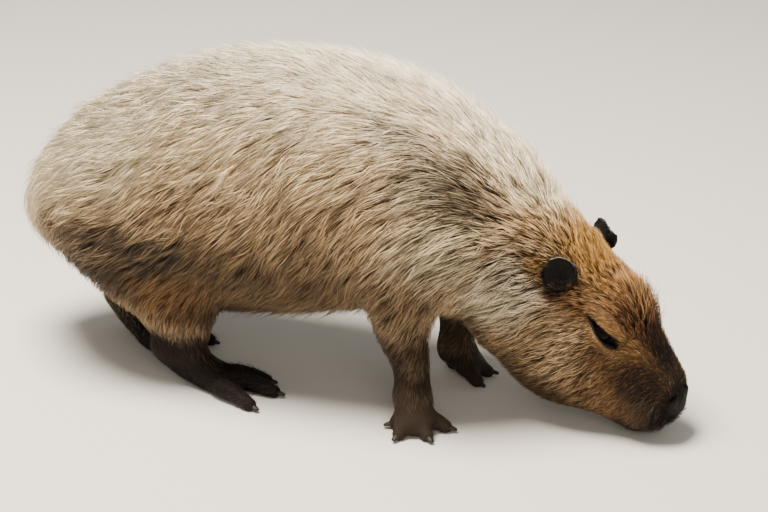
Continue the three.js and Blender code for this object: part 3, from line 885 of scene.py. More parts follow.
def skin_colour(p):
    """Colour and bareness of the skin: dark as hair roots under the coat, its own where bare, with a
    painted highlight along the top of each ear's rim.
    """
    tip, root, _ = markings_and_painted_light(p)
    thin = 1 - np.clip(-outline(p) / UNDER["depth"], 0, 1)[:, None]
    colour = root * (UNDER["root"] + UNDER["thin root"] * thin) + tip * UNDER["thin tip"] * thin
    bare = bareness(p)[:, None]
    own = np.where(p[:, :1] < 0, linear(BARE["hind foot"]), linear(BARE["fore foot"]))
    own[p[:, 0] > HEAD_FROM] = linear(BARE["nose"])
    own[lid_reach(p) < LID_EDGE["black"]] = linear(BARE["lid"])
    for s in SIDES.values():
        at, out = ear_frame(s)
        near = np.linalg.norm(p - at, axis=1) < EAR_BARE["near"]
        own[near] = linear(BARE["ear"])
        # a painted highlight: lighter along the top of each ear's rim
        rim = smooth_share((p - at) @ out, *EAR_RIM_HIGHLIGHT["high"])
        rim *= smooth_share(ear_height(p, s), *EAR_RIM_HIGHLIGHT["top"])
        rim *= smooth_share(ear_cup(p, s)[1], *EAR_RIM_HIGHLIGHT["lip"])
        own += (near * rim)[:, None] * (linear(BARE["ear rim highlight"]) - own)
    return colour * (1 - bare) + own * bare, bare[:, 0]


# The lie of the coat


# Guides: place, direction, reach of the guide and length of the hair there; mirrored for the left
BODY_LIE = [
    ((330, 0, 350), (-0.6, 0, 0.8), 45, 34),
    ((288, 20, 380), (-0.67, 0, 0.75), 40, 40),
    ((233, 33, 420), (-0.8, -0.15, 0.57), 40, 50),
    ((172, 26, 454), (-0.89, 0.18, 0.41), 42, 56),
    ((80, 0, 490), (-0.95, 0, 0.2), 60, 58),
    ((10, 60, 488), (-0.96, -0.15, 0.12), 48, 60),
    ((-80, 0, 505), (-1, 0, 0), 60, 60),
    ((-110, 76, 478), (-0.99, 0.07, -0.15), 48, 60),
    ((-200, 70, 465), (-0.93, 0.16, -0.32), 48, 60),
    ((-220, 0, 475), (-0.97, 0, -0.2), 60, 60),
    ((-336, 10, 429), (-0.85, 0, -0.5), 50, 60),
    ((-420, 0, 350), (-0.7, 0, -0.7), 60, 60),
    ((-500, 0, 230), (-0.35, 0, -1), 60, 56),
    ((127, 70, 459), (-0.95, 0.26, 0.17), 38, 58),
    ((188, 70, 427), (-0.87, 0, 0.49), 34, 54),
    ((245, 66, 390), (-0.84, 0.19, 0.5), 36, 50),
    ((140, 98, 429), (-0.9, 0.44, 0.02), 34, 56),
    ((60, 98, 460), (-0.98, 0.16, 0.02), 40, 58),
    ((-31, 111, 455), (-0.96, 0.19, -0.19), 38, 58),
    ((-120, 115, 445), (-0.72, 0.38, -0.59), 42, 60),
    ((-218, 109, 430), (-0.8, 0.26, -0.54), 42, 60),
    ((-289, 95, 417), (-0.82, 0.22, -0.53), 40, 60),
    ((-378, 54, 393), (-0.82, 0.09, -0.56), 45, 60),
    ((62, 122, 427), (-0.75, 0.5, -0.44), 40, 58),
    ((-20, 136, 421), (-0.84, 0.32, -0.44), 40, 58),
    ((-79, 141, 414), (-0.64, 0.35, -0.68), 40, 58),
    ((-170, 140, 402), (-0.64, 0.27, -0.72), 48, 58),
    ((-290, 130, 382), (-0.8, 0.26, -0.53), 46, 58),
    ((-407, 127, 320), (-0.72, -0.05, -0.69), 44, 58),
    ((149, 118, 394), (-0.87, 0.45, -0.19), 34, 54),
    ((198, 95, 393), (-0.88, 0.17, 0.44), 32, 52),
    ((97, 134, 392), (-0.71, 0.41, -0.57), 36, 56),
    ((0, 152, 384), (-0.74, 0.26, -0.62), 50, 58),
    ((-130, 157, 368), (-0.78, 0.14, -0.61), 54, 58),
    ((-300, 156, 344), (-0.78, 0.2, -0.6), 48, 56),
    ((299, 51, 348), (-0.66, 0.3, 0.69), 32, 42),
    ((254, 88, 355), (-0.85, 0.49, 0.17), 32, 50),
    ((206, 116, 358), (-0.9, 0.43, 0.07), 32, 52),
    ((157, 137, 359), (-0.77, 0.51, -0.38), 34, 54),
    ((90, 150, 352), (-0.74, 0.25, -0.62), 40, 56),
    ((0, 162, 330), (-0.7, 0.08, -0.71), 50, 56),
    ((-120, 166, 315), (-0.69, 0.01, -0.72), 54, 56),
    ((-225, 167, 308), (-0.77, 0.08, -0.64), 46, 54),
    ((-320, 169, 301), (-0.87, 0.02, -0.49), 40, 52),
    ((-394, 154, 285), (-0.69, -0.23, -0.68), 40, 54),
    ((306, 69, 312), (-0.79, 0.47, 0.4), 30, 44),
    ((260, 102, 317), (-0.82, 0.54, 0.21), 32, 50),
    ((213, 131, 321), (-0.81, 0.58, 0.04), 32, 52),
    ((163, 153, 322), (-0.77, 0.35, -0.54), 34, 54),
    ((-195, 167, 265), (-0.76, 0.03, -0.65), 40, 50),
    ((-256, 172, 262), (-0.97, 0.1, -0.23), 36, 44),
    ((-320, 173, 256), (-0.96, -0.08, -0.27), 38, 44),
    ((-401, 148, 235), (-0.64, -0.3, -0.7), 38, 46),
    ((310, 77, 271), (-0.91, 0.41, 0.1), 30, 46),
    ((262, 106, 275), (-0.86, 0.51, -0.02), 32, 50),
    ((216, 138, 280), (-0.9, 0.42, -0.15), 32, 52),
    ((165, 156, 279), (-0.63, 0.06, -0.77), 36, 54),
    ((80, 158, 265), (-0.65, -0.1, -0.75), 46, 54),
    ((-30, 156, 250), (-0.67, -0.15, -0.72), 50, 54),
    ((-138, 156, 232), (-0.61, -0.21, -0.77), 40, 50),
    ((-258, 172, 220), (-0.94, 0.04, -0.34), 36, 40),
    ((-326, 167, 207), (-0.76, -0.2, -0.6), 38, 40),
    ((-430, 100, 195), (-0.4, -0.2, -0.9), 46, 44),
    ((311, 78, 227), (-0.94, 0.29, 0.19), 30, 46),
    ((259, 96, 226), (-0.92, 0.26, -0.29), 34, 50),
    ((212, 127, 231), (-0.84, 0.51, -0.18), 32, 50),
    ((163, 152, 233), (-0.59, 0.15, -0.79), 34, 50),
    ((104, 152, 223), (-0.25, -0.18, -0.95), 36, 50),
    ((10, 128, 198), (-0.45, -0.49, -0.75), 48, 52),
    ((-100, 128, 185), (-0.66, -0.4, -0.64), 48, 54),
    ((-205, 154, 174), (-0.82, 0.17, -0.54), 36, 36),
    ((-300, 150, 165), (-0.6, 0, -0.8), 45, 32),
    ((310, 72, 180), (-0.89, 0.07, -0.44), 34, 46),
    ((252, 73, 170), (-0.84, -0.19, -0.51), 36, 48),
    ((159, 142, 183), (-0.46, 0, -0.89), 36, 36),
    ((140, 110, 130), (-0.31, 0.03, -0.95), 40, 17),
    ((148, 100, 85), (0, 0, -1), 34, 9),
    ((150, 100, 30), (0.5, 0, -0.6), 34, 5),
    ((-225, 130, 150), (-0.5, -0.04, -0.87), 42, 24),
    ((-232, 110, 100), (-0.1, 0, -1), 40, 11),
    ((-200, 95, 40), (0.8, 0, -0.5), 60, 5),
    ((-370, 90, 110), (-0.1, 0, -1), 45, 13),
    ((-340, 70, 40), (0.8, 0, -0.5), 60, 5),
    ((-80, 40, 110), (-1, 0, -0.1), 90, 50),
    ((90, 40, 130), (-0.95, 0, -0.2), 60, 46),
    ((250, 0, 110), (-0.95, 0, -0.15), 60, 48),
    ((-440, 0, 150), (0.3, 0, -1), 60, 42),
]
HEAD_LIE = [
    ((240, 0, -60), (-0.2, 0, 1), 30, 4),
    ((215, 0, -30), (-1, 0, 0.3), 34, 6),
    ((160, 0, -4), (-1, 0, 0.3), 40, 10),
    ((130, 12, 4), (-0.91, 0.17, 0.37), 32, 13),
    ((85, 0, 24), (-1, 0, 0.1), 45, 17),
    ((10, 0, 28), (-1, 0, 0), 45, 26),
    ((-40, 0, 24), (-0.95, 0, 0.3), 45, 34),
    ((98, 50, 2), (-0.85, 0.5, -0.17), 28, 12),
    ((50, 60, 2), (-0.92, 0.3, -0.2), 34, 17),
    ((-4, 82, -40), (-0.85, 0.28, -0.44), 34, 26),
    ((56, 76, -42), (-0.17, 0.25, -0.95), 28, 20),
    ((218, 46, -72), (0.19, 0.12, -0.97), 32, 6),
    ((182, 53, -116), (0.16, -0.29, -0.94), 34, 12),
    ((155, 60, -68), (-0.16, 0.09, -0.99), 32, 12),
    ((124, 64, -42), (-0.14, 0.21, -0.97), 26, 12),
    ((114, 76, -109), (-0.28, 0.07, -0.96), 34, 25),
    ((85, 78, -69), (-0.24, 0.2, -0.95), 32, 23),
    ((45, 86, -114), (-0.2, 0.03, -0.98), 36, 34),
    ((15, 90, -71), (-0.43, 0.25, -0.87), 36, 32),
    ((75, 72, -175), (-0.22, -0.44, -0.87), 40, 36),
    ((150, 30, -160), (-0.5, 0.1, -0.8), 36, 18),
    ((150, 0, -165), (-1, 0, -0.1), 36, 14),
    ((60, 0, -205), (-1, 0, -0.2), 50, 32),
]


def lie_tables():
    """Guides of both sides in the part's frame, as arrays of place, direction, reach and length."""
    rows = []
    for table in (BODY_LIE, HEAD_LIE):
        for at, way, reach, length in table:
            for s in SIDES.values():
                spot, aim = sided(at, s), unit(sided(way, s))
                if table is HEAD_LIE:
                    spot, aim = from_head(spot), head_aim(aim)
                rows.append((spot, aim, reach, length))
                if at[1] == 0:
                    break  # a guide on the middle line counts once
    return [np.array(column, float) for column in zip(*rows)]


LIE_AT, LIE_WAY, LIE_REACH, LIE_LENGTH = lie_tables()


def lie_at(p):
    """Direction and length of the hair at each point."""
    away = (p**2).sum(1)[:, None] + (LIE_AT**2).sum(1)[None] - 2 * p @ LIE_AT.T
    away = away / LIE_REACH[None] ** 2
    weight = np.exp(-0.5 * np.minimum(away, 60)) + 1e-9 / (away + 0.1)
    weight /= weight.sum(1, keepdims=True)
    return weight @ LIE_WAY, weight @ LIE_LENGTH


SCATTER = {"tries": 3.2, "cell": 1.18}  # roots drawn for each square, and squares in spacings
CELL_CODE = (4000037, 2003, 1)  # tells a grid's cells apart by one number


def scatter(points, faces, weight, spacing, seed):
    """Evenly strewn roots on the skin where weight allows: about one to each spacing square."""
    rng = np.random.default_rng(seed)
    a, b, c, d = (points[faces[:, i]] for i in range(4))
    halves = (np.cross(b - a, c - a), np.cross(c - a, d - a))
    share = sum(np.linalg.norm(half, axis=1) / 2 for half in halves) * weight
    wanted = int(share.sum() / spacing**2 * SCATTER["tries"])
    pick = np.searchsorted(np.cumsum(share), rng.uniform(0, share.sum(), wanted))
    a, b, c, d = (corner[np.minimum(pick, len(faces) - 1)] for corner in (a, b, c, d))
    u, v = rng.uniform(size=(2, wanted))[:, :, None]
    spot = (a * (1 - u) + b * u) * (1 - v) + (d * (1 - u) + c * u) * v
    cell = np.floor(spot / (spacing * SCATTER["cell"])).astype(np.int64)
    _, first = np.unique(cell @ np.array(CELL_CODE), return_index=True)
    return spot[rng.permutation(first)]


# How long a hair may be: at the lids and more for each mm away, in an ear, at its foot, and away
ROOM = {"lid": 1.8, "from lid": 0.9, "ear": 3, "ear foot": 5, "from ear": 1.1, "foot": (-0.9, -0.55)}


def hair_room(p):
    """How long a hair may be at each point without reaching into an ear's cup or over an eye."""
    room = ROOM["lid"] + ROOM["from lid"] * lid_reach(p)
    near = np.nonzero(to_head(p)[:, 0] > -70)[0]
    for s in SIDES.values():
        away = np.maximum(np.minimum(*ear_cup(p[near], s)), 0)
        low = 1 - smooth_share(ear_height(p[near], s), *ROOM["foot"])
        ear = ROOM["ear"] + ROOM["ear foot"] * low + ROOM["from ear"] * away
        room[near] = np.minimum(room[near], ear)
    return room


# Where the head's short coat stands up: place in the head's frame, radii and how much higher
PROUD = [
    ((122, 0, 6), (56, 44, 34), 17.0),
    ((240, 0, -92), (26, 44, 40), 3.5),
]

# How locks differ, each as least and most: a tuft's size and rise, and each lock's own
TUFT = {"size": (0.82, 1.14), "rise": (0.86, 1.06), "radius": 11, "fewest": 8}
SWEEP = {"turn": 0.12, "size": 120, "seed": 31}  # how whole stretches of coat turn together
LOCK = {"size": (0.78, 1.12), "stray": (1.15, 1.72), "thickness": (0.7, 1.3), "across": (0.62, 1.4)}
RISE = {"most": 1.2, "spread": (2.8, 0.8), "bow": 1.7, "deepest": 30}  # how high locks stand
LOCK_RINGS = 2
LOCK_SECTION = ((-1.0, -0.25), (1.0, -0.25), (0.0, 0.5))  # corners, in half-thicknesses
LOCK_TAPER = ([0, 0.3, 0.65, 1], [0.75, 1.0, 0.72, 0])
GATHER = 0.52  # how far a tuft's tips draw together
LEAST_HEIGHT = 1.2  # how far above the floor a hair stays
PATCH = 0.003  # width of one lock's patch on the baking map


def proud(p):
    """How much higher than its lie the coat stands at each point."""
    side = folded(to_head(p))
    return sum(soft(side, at, radii) * extra for at, radii, extra in PROUD)


def strands(roots, seed, clump, surface=flesh, curl=0.1, wild=0.1, least=0.8):
    """Walks each root's hair along the lie of the coat: points of each lock, sides and facts.

    There is about one tuft to each clump locks, and a share of them, wild, stray from the coat.
    """
    rng = np.random.default_rng(seed)
    count = len(roots)
    normal = unit(slope(surface, roots)[0])
    length = lie_at(roots)[1]
    seeds = roots[rng.permutation(count)[: max(TUFT["fewest"], int(count / clump))]]
    tree = KDTree(len(seeds))
    for i, spot in enumerate(seeds):
        tree.insert(spot, i)
    tree.balance()
    owner = np.array([tree.find(spot)[1] for spot in roots])
    tuft_turn = rng.normal(0, curl, len(seeds))[owner]
    tuft_size = rng.uniform(*TUFT["size"], len(seeds))[owner]
    tuft_shade = rng.normal(0, 1, len(seeds))[owner]
    tuft_rise = rng.uniform(*TUFT["rise"], len(seeds))[owner]
    turn = tuft_turn + rng.normal(0, curl * 0.5, count)
    turn = turn + SWEEP["turn"] * wander(roots, SWEEP["size"], SWEEP["seed"])
    length = length * tuft_size * rng.uniform(*LOCK["size"], count)
    stand = proud(roots)
    length = np.minimum(length, hair_room(roots)) + stand
    stray = rng.uniform(size=count) < wild
    top = RISE["most"] * rng.beta(*RISE["spread"], count) * tuft_rise
    top = np.where(stray, rng.uniform(*LOCK["stray"], count), top)
    turn = np.where(stray, turn * 1.8, turn)
    offset = roots - seeds[owner]
    walker = roots.copy()
    path, sides = [roots - normal * 0.6], []
    for k in range(1, LOCK_RINGS + 1):
        t = k / LOCK_RINGS
        way = lie_at(walker)[0]
        way = unit(way - (way * normal).sum(1)[:, None] * normal)
        bend = turn * (0.5 + 0.5 * t)
        way = way * np.cos(bend)[:, None] + np.cross(normal, way) * np.sin(bend)[:, None]
        sides.append(np.cross(normal, way))
        walker = walker + way * (length / LOCK_RINGS)[:, None]
        grade, value = slope(surface, walker)
        walker = walker - grade * (value / np.maximum((grade**2).sum(1), 0.3))[:, None]
        normal = unit(grade)
        depth = np.clip(-outline(walker), least, RISE["deepest"])
        rise = top * (1 - (1 - t) ** RISE["bow"]) * (depth + stand)
        lean = offset
        for axis in (way, normal):
            lean = lean - (offset * axis).sum(1)[:, None] * axis
        path.append(walker + normal * rise[:, None] - lean * GATHER * smooth_share(t, 0.1, 1.0))
    path = np.stack(path, 1)
    path[:, :, 2] = np.maximum(path[:, :, 2], LEAST_HEIGHT)
    across = np.clip(0.5 + 0.016 * length, *LOCK["across"])
    across = across * rng.uniform(*LOCK["thickness"], count)
    # how near its tuft's edge each lock grows, which sets the painted shade between tufts
    edge = np.clip(np.linalg.norm(offset, axis=1) / TUFT["radius"], 0, 1)
    return path, np.stack(sides, 1), {"shade": tuft_shade, "edge": edge, "across": across}


def lock_mesh(name, path, sides, across, colours, patches):
    """One closed mesh of three-sided tapering locks, with their colours and their baking patches."""
    count, per = len(path), LOCK_RINGS * 3 + 1
    ts = np.arange(LOCK_RINGS) / LOCK_RINGS
    taper = np.interp(ts, *LOCK_TAPER)[None, :, None]
    side = unit(sides)
    up = unit(np.cross(side, -unit(np.diff(path, axis=1))))
    half = (across / 2)[:, None, None]
    corners = [path[:, :-1] + (side * x + up * y) * half * taper for x, y in LOCK_SECTION]
    body = np.stack(corners, 2).reshape(count, per - 1, 3)
    points = np.concatenate([body, path[:, -1:]], 1).reshape(-1, 3)
    rows = [3 * k for k in range(LOCK_RINGS)]
    turns = ((0, 1), (1, 2), (2, 0))
    quads = [(row + c, row + d, row + 3 + d, row + 3 + c) for row in rows[:-1] for c, d in turns]
    triangles = [(rows[-1] + c, rows[-1] + d, per - 1) for c, d in turns] + [(0, 2, 1)]
    start = (np.arange(count) * per)[:, None, None]
    faces = [(np.array(part)[None] + start).reshape(-1, len(part[0])) for part in (quads, triangles)]
    mesh = new_mesh(name, points, *faces)
    share = np.append(np.repeat(ts, 3), 1.0)
    mix = smooth_share(share, 0.05, 0.75)[None, :, None]
    tip, root = colours
    tone = root[:, None] * (1 - mix) + tip[:, None] * mix
    store(mesh, "coat_colour", "FLOAT_COLOR", np.clip(tone, 0, 1).reshape(-1, 3))
    local = np.stack([share - 0.5, np.append(np.tile([0.5, -0.5, 0.0], LOCK_RINGS), 0.0)], -1)
    flat = (patches[:, None] + local[None] * PATCH).reshape(-1, 2)
    loops = np.concatenate([part.ravel() for part in faces])
    layer = mesh.uv_layers.new(name="OFBake")
    layer.data.foreach_set("uv", flat[loops].astype(np.float32).ravel())
    return mesh


def turn_share(y, x):
    """How far round from the -x direction each point lies, as a share of a whole turn."""
    return np.arctan2(y, x) / (2 * math.pi) + 0.5


def unwrapped(p, kind):
    """Each root's place on an unwrap of the skin: along and round the trunk, the head or each leg."""
    if kind == "head":
        q = to_head(p)
        u, v = (q[:, 0] + 60) / 330, turn_share(q[:, 1], -(q[:, 2] + 88))
    elif kind == "legs":
        shanks = np.array([leg["rings"][3][0][:2] for leg in LEGS.values()])
        off = p[:, None, :2] - shanks
        nearest = np.argmin(np.hypot(off[:, :, 0], off[:, :, 1]), 1)
        off = off[np.arange(len(p)), nearest]
        u = (nearest + 0.03 + 0.94 * turn_share(off[:, 1], off[:, 0])) / len(LEGS)
        v = p[:, 2] / 220
    else:
        low, high = p[:, 0].min(), p[:, 0].max()
        u, v = (p[:, 0] - low) / max(high - low, 1), turn_share(p[:, 1], -(p[:, 2] - 280))
    return 0.01 + 0.98 * np.clip(np.stack([u, v], -1), 0, 1)


# How locks' shades differ: by tuft, towards a tuft's edge as painted shade in the gaps between tufts, by
# lock, and between least and most
SHADE = {"mean": 1.03, "tuft": 0.15, "edge": 0.34, "lock": 0.19, "range": (0.4, 1.4)}
ROOT_SHADE = {"lock": 0.12, "range": (0.6, 1.4)}
WARMTH = 0.03


def lock_colours(path, facts, seed):
    """Tip and root colour of each lock: markings, dark hairs among pale ones, tufts that differ, and
    painted shade on locks at a tuft's edge.
    """
    rng = np.random.default_rng(seed)
    roots, tips = path[:, 0], path[:, -1]
    p = roots + (tips - roots) * rng.uniform(0.2, 1.0, len(roots))[:, None]
    tip, root, dark = markings_and_painted_light(p)
    # locks near a tuft's edge are darkened: painted shade in the gaps between tufts
    shade = SHADE["mean"] + SHADE["tuft"] * facts["shade"] - SHADE["edge"] * facts["edge"]
    shade = shade + rng.normal(0, SHADE["lock"], len(p))
    tip = tip * np.clip(shade, *SHADE["range"])[:, None]
    tip = tip * (1 + rng.normal(0, WARMTH, len(p))[:, None] * np.array([1.0, 0.0, -1.0]))
    is_dark = (rng.uniform(size=len(p)) < dark)[:, None]
    tip = np.where(is_dark, root * 0.8 + tip * 0.2, tip)
    own = 1 + rng.normal(0, ROOT_SHADE["lock"], len(p))
    root = root * np.clip(own, *ROOT_SHADE["range"])[:, None]
    fleck = (to_head(p)[:, 0] > FLECKS["from"]) & (rng.uniform(size=len(p)) < FLECKS["share"])
    tip = np.where(fleck[:, None], linear(FLECKS["colour"]) * 0.7 + tip * 0.3, tip)
    return tip, root


# Materials


def node(tree, kind, inputs=None, **settings):
    """Adds a node with its settings; an input is a value or a node's output. Gives its outputs."""
    new = tree.nodes.new(kind)
    for key, value in settings.items():
        setattr(new, key, value)
    for key, value in (inputs or {}).items():
        if isinstance(value, bpy.types.NodeSocket):
            tree.links.new(value, new.inputs[key])
        else:
            new.inputs[key].default_value = value
    return new.outputs


def rgba(colour):
    """A hex colour for a colour socket."""
    return (*linear(colour), 1.0)


def surface(name, finish):
    """A material whose shader takes its inputs from finish, which adds the nodes before it."""
    material = bpy.data.materials.new(name)
    material.use_nodes = True
    tree = material.node_tree
    tree.nodes.clear()
    shader = node(tree, "ShaderNodeBsdfPrincipled", finish(tree))
    node(tree, "ShaderNodeOutputMaterial", {"Surface": shader["BSDF"]})
    return material


def guard_hair(tree):
    """Coarse guard hair: keratin, straight and dry, that gives a soft broken gleam along each lock."""
    tone = node(tree, "ShaderNodeAttribute", attribute_name="coat_colour", attribute_type="GEOMETRY")
    return {"Base Color": tone["Color"], "Roughness": 0.58, "IOR": 1.55, "Specular IOR Level": 0.22}


def creased_skin(tree):
    """Living skin: matt between the hairs, leathery and creased with a dull sheen where it is bare."""
    tone = node(tree, "ShaderNodeAttribute", attribute_name="markings_and_painted_light", attribute_type="GEOMETRY")
    bare = node(tree, "ShaderNodeAttribute", attribute_name="bare", attribute_type="GEOMETRY")["Fac"]
    where = node(tree, "ShaderNodeTexCoord")["Object"]
    # creases 3 mm apart on the bare skin, pores under 1 mm, hair stubble 2 mm apart under the coat
    grain = {"Vector": where, "Scale": 300.0, "Randomness": 1.0}
    creases = node(tree, "ShaderNodeTexVoronoi", grain, feature="DISTANCE_TO_EDGE")["Distance"]
    span = {"Value": creases, "From Min": 0.0, "From Max": 0.16, "To Min": 0.0, "To Max": 1.0}
    edge = node(tree, "ShaderNodeMapRange", span)["Result"]
    grain = {"Vector": where, "Scale": 900.0, "Detail": 4.0, "Roughness": 0.6}
    pores = node(tree, "ShaderNodeTexNoise", grain)["Fac"]
    turn = {"Vector": where, "Rotation": [math.radians(a) for a in HEAD_TURN], "Scale": (9.0, 1.0, 1.0)}
    drawn = node(tree, "ShaderNodeMapping", turn, vector_type="TEXTURE")["Vector"]
    grain = {"Vector": drawn, "Scale": 620.0, "Detail": 2.0, "Roughness": 0.5}
    stubble = node(tree, "ShaderNodeTexNoise", grain)["Fac"]
    leather = node(tree, "ShaderNodeMath", {0: edge, 1: pores}, operation="ADD")["Value"]
    relief = node(tree, "ShaderNodeMix", {0: bare, 2: stubble, 3: leather}, data_type="FLOAT")[0]
    bump = node(tree, "ShaderNodeBump", {"Height": relief, "Strength": 0.55, "Distance": 0.0008})
    span = {"Value": stubble, "From Min": 0.3, "From Max": 0.7, "To Min": 0.6, "To Max": 1.35}
    streak = node(tree, "ShaderNodeMapRange", span)["Result"]
    span = {"Value": pores, "From Min": 0.3, "From Max": 0.7, "To Min": 0.8, "To Max": 1.25}
    grime = node(tree, "ShaderNodeMapRange", span)["Result"]
    strength = node(tree, "ShaderNodeMix", {0: bare, 2: streak, 3: grime}, data_type="FLOAT")[0]
    tint = {0: tone["Color"], "Scale": strength}
    colour = node(tree, "ShaderNodeVectorMath", tint, operation="SCALE")["Vector"]
    span = {"Value": bare, "From Min": 0.0, "From Max": 1.0, "To Min": 0.9, "To Max": 0.62}
    gloss = node(tree, "ShaderNodeMapRange", span)["Result"]
    shading = {"Base Color": colour, "Roughness": gloss, "Normal": bump["Normal"]}
    return {**shading, "IOR": 1.4, "Specular IOR Level": 0.18}


def wet_eye(tree):
    """A wet dark-brown eye: a tear film over a brown iris that is almost black around its pupil."""
    tone = node(tree, "ShaderNodeAttribute", attribute_name="iris", attribute_type="GEOMETRY")
    return {"Base Color": tone["Color"], "Roughness": 0.28, "IOR": 1.34, "Specular IOR Level": 0.08}


def stiff_whisker(_):
    """Stiff whisker: a thick smooth hair shaft, nearly black, with a narrow gleam."""
    return {"Base Color": rgba("#2A1D15"), "Roughness": 0.45, "IOR": 1.55, "Specular IOR Level": 0.3}


def nail_horn(tree):
    """Nail horn, grown in layers and worn on the ground: dark, finely lined and dully polished."""
    where = node(tree, "ShaderNodeTexCoord")["Object"]
    # growth lines 0.6 mm apart, drawn 1.5 mm apart so that they show
    grain = {"Vector": where, "Scale": 640.0, "Detail": 3.0, "Roughness": 0.55}
    lines = node(tree, "ShaderNodeTexNoise", grain)["Fac"]
    colour = node(tree, "ShaderNodeValToRGB", {"Fac": lines})["Color"]
    stops = colour.node.color_ramp.elements
    for stop, position, tone in zip(stops, (0.35, 0.75), ("#15100D", "#332A24")):
        stop.position, stop.color = position, rgba(tone)
    bump = node(tree, "ShaderNodeBump", {"Height": lines, "Strength": 0.3, "Distance": 0.0004})
    shading = {"Base Color": colour, "Normal": bump["Normal"], "Roughness": 0.55}
    return {**shading, "IOR": 1.54, "Specular IOR Level": 0.3}


def studio_paper(_):
    """Plain matt studio paper."""
    return {"Base Color": rgba("#DAD6CE"), "Roughness": 0.95, "Specular IOR Level": 0.2}


# Settings


class SkinSettings(bpy.types.PropertyGroup):
    """Sizes of the skin's mesh."""

    cell: bpy.props.FloatProperty(
        name="Fineness",
        description="Grid step of the skin's mesh",
        default=0.0023,
        min=0.0015,
        unit="LENGTH",
    )
    limit: bpy.props.IntProperty(
        name="Triangles", description="Triangles of the skin, fewest under the coat", default=190000
    )


class CoatSettings(bpy.types.PropertyGroup):
    """Sizes of the coat."""

    body_gap: bpy.props.FloatProperty(
        name="Body spacing",
        description="Distance between locks on the body",
        default=0.0024,
        unit="LENGTH",
    )
    head_gap: bpy.props.FloatProperty(
        name="Head spacing",
        description="Distance between tufts on the head",
        default=0.0021,
        unit="LENGTH",
    )
    leg_gap: bpy.props.FloatProperty(
        name="Leg spacing",
        description="Distance between tufts on the legs",
        default=0.0027,
        unit="LENGTH",
    )
    seed: bpy.props.IntProperty(name="Seed", description="Another seed gives another coat", default=5)


class BristleSettings(bpy.types.PropertyGroup):
    """Sizes of the whiskers and of the stiff hairs on the toes."""

    whisker_length: bpy.props.FloatProperty(
        name="Whisker length",
        description="Length of a middling whisker",
        default=0.027,
        unit="LENGTH",
    )
    whisker_gap: bpy.props.FloatProperty(
        name="Whisker spacing",
        description="Least distance between whiskers",
        default=0.0075,
        unit="LENGTH",
    )
    toe_length: bpy.props.FloatProperty(
        name="Toe hair length",
        description="Length of a middling toe hair",
        default=0.009,
        unit="LENGTH",
    )
    toe_gap: bpy.props.FloatProperty(
        name="Toe hair spacing",
        description="Least distance between toe hairs",
        default=0.005,
        unit="LENGTH",
    )
    seed: bpy.props.IntProperty(
        name="Bristle seed", description="Another seed strews the bristles elsewhere", default=11
    )


class StageSettings(bpy.types.PropertyGroup):
    """The camera and the floor."""

    lens: bpy.props.FloatProperty(
        name="Lens", description="Focal length in millimetres", default=105.0, unit="CAMERA"
    )
    floor: bpy.props.FloatProperty(
        name="Floor", description="Width of the floor", default=24.0, unit="LENGTH"
    )


# Pieces


FLESH_NODES = ["trunk", "neck", "head", "ear_right", "ear_left"]
FLESH_NODES += [f"{leg}_{part}" for leg in LEGS for part in ("upper", "lower", "foot")]
SKIN_BOX = ((-524, -184, -12), (524, 184, 510))
EYE_MESH = {"rows": 24, "turns": 40}
EYE_EDGES = {"white": (9.6, 11.5), "pupil": (3.6, 4.4)}  # distances from the eye's axis
NAIL_MESH = {"rows": 10, "turns": 16}

# Pieces of the long coat, by where their roots lie along the body
BODY_PIECES = [
    ("coat_rump", -640, -388),
    ("coat_haunch", -388, -300),
    ("coat_loin", -300, -212),
    ("coat_flank", -212, -112),
    ("coat_ribs", -112, -6),
    ("coat_barrel", -6, 96),
    ("coat_shoulder", 96, 190),
    ("coat_neck", 190, 420),
]
BRISTLE_SOCKETS = {"Patch": "Geometry", "Length": "Float", "Thickness": "Float", "Spacing": "Float"}
BRISTLE_SOCKETS.update({"Lean": "Float", "Seed": "Int", "Material": "Material"})
BRISTLES = {
    "whiskers": {"Thickness": 0.0009, "Lean": 0.55},
    "toe_hairs": {"Thickness": 0.0007, "Lean": 0.8},
}
WHISKERS_AT = (202, 26, -80)  # in the head's frame
TOE_HAIRS_AT = 20  # height above the floor
built = {}


def once(key, make):
    """What make gives, made at the first call for this key and kept for the later ones."""
    if key not in built:
        built[key] = make()
    return built[key]


def skin_grid():
    """Points and quads of the fine skin, and the middle and outward direction of each quad."""
    cell = bpy.context.scene.capybara_skin.cell / MM
    points, quads = polygonise(skin_field, *SKIN_BOX, cell)
    a, b, c, d = (points[quads[:, i]] for i in range(4))
    return points, quads, points[quads].mean(1), unit(np.cross(c - a, d - b))


class CAPYBARA_OT_skin(bpy.types.Operator):
    """One skin over the whole body: trunk, neck, head, ears, legs and feet"""

    bl_idname = "capybara.skin"
    bl_label = "Skin"

    def execute(self, context):
        """Thins the fine skin, most where the long coat hides it, and paints it."""
        points, quads, _, _ = once("skin", skin_grid)
        item = linked("skin", new_mesh("skin", points, quads))
        hidden = smooth_share(-outline(points), 7.0, 12.0)
        group = item.vertex_groups.new(name="under the coat")
        for level in (0.25, 0.5, 0.75, 1.0):
            chosen = np.nonzero((hidden > level - 0.25) & (hidden <= level))[0]
            group.add(chosen.tolist(), level, "REPLACE")
        thin = item.modifiers.new("thin", "DECIMATE")
        thin.ratio = min(1.0, context.scene.capybara_skin.limit / (2 * len(quads)))
        thin.vertex_group = group.name
        thin.vertex_group_factor = 1.0
        thin.use_collapse_triangulate = True
        mesh = plain_mesh(item, thin)
        spots = np.empty(len(mesh.vertices) * 3, np.float32)
        mesh.vertices.foreach_get("co", spots)
        colour, bare = skin_colour(spots.reshape(-1, 3).astype(float) / MM)
        store(mesh, "markings_and_painted_light", "FLOAT_COLOR", colour)
        store(mesh, "bare", "FLOAT", bare)
        place("skin", mesh, surface("Creased dark skin", creased_skin), "ginger_fur", FLESH_NODES)
        return {"FINISHED"}


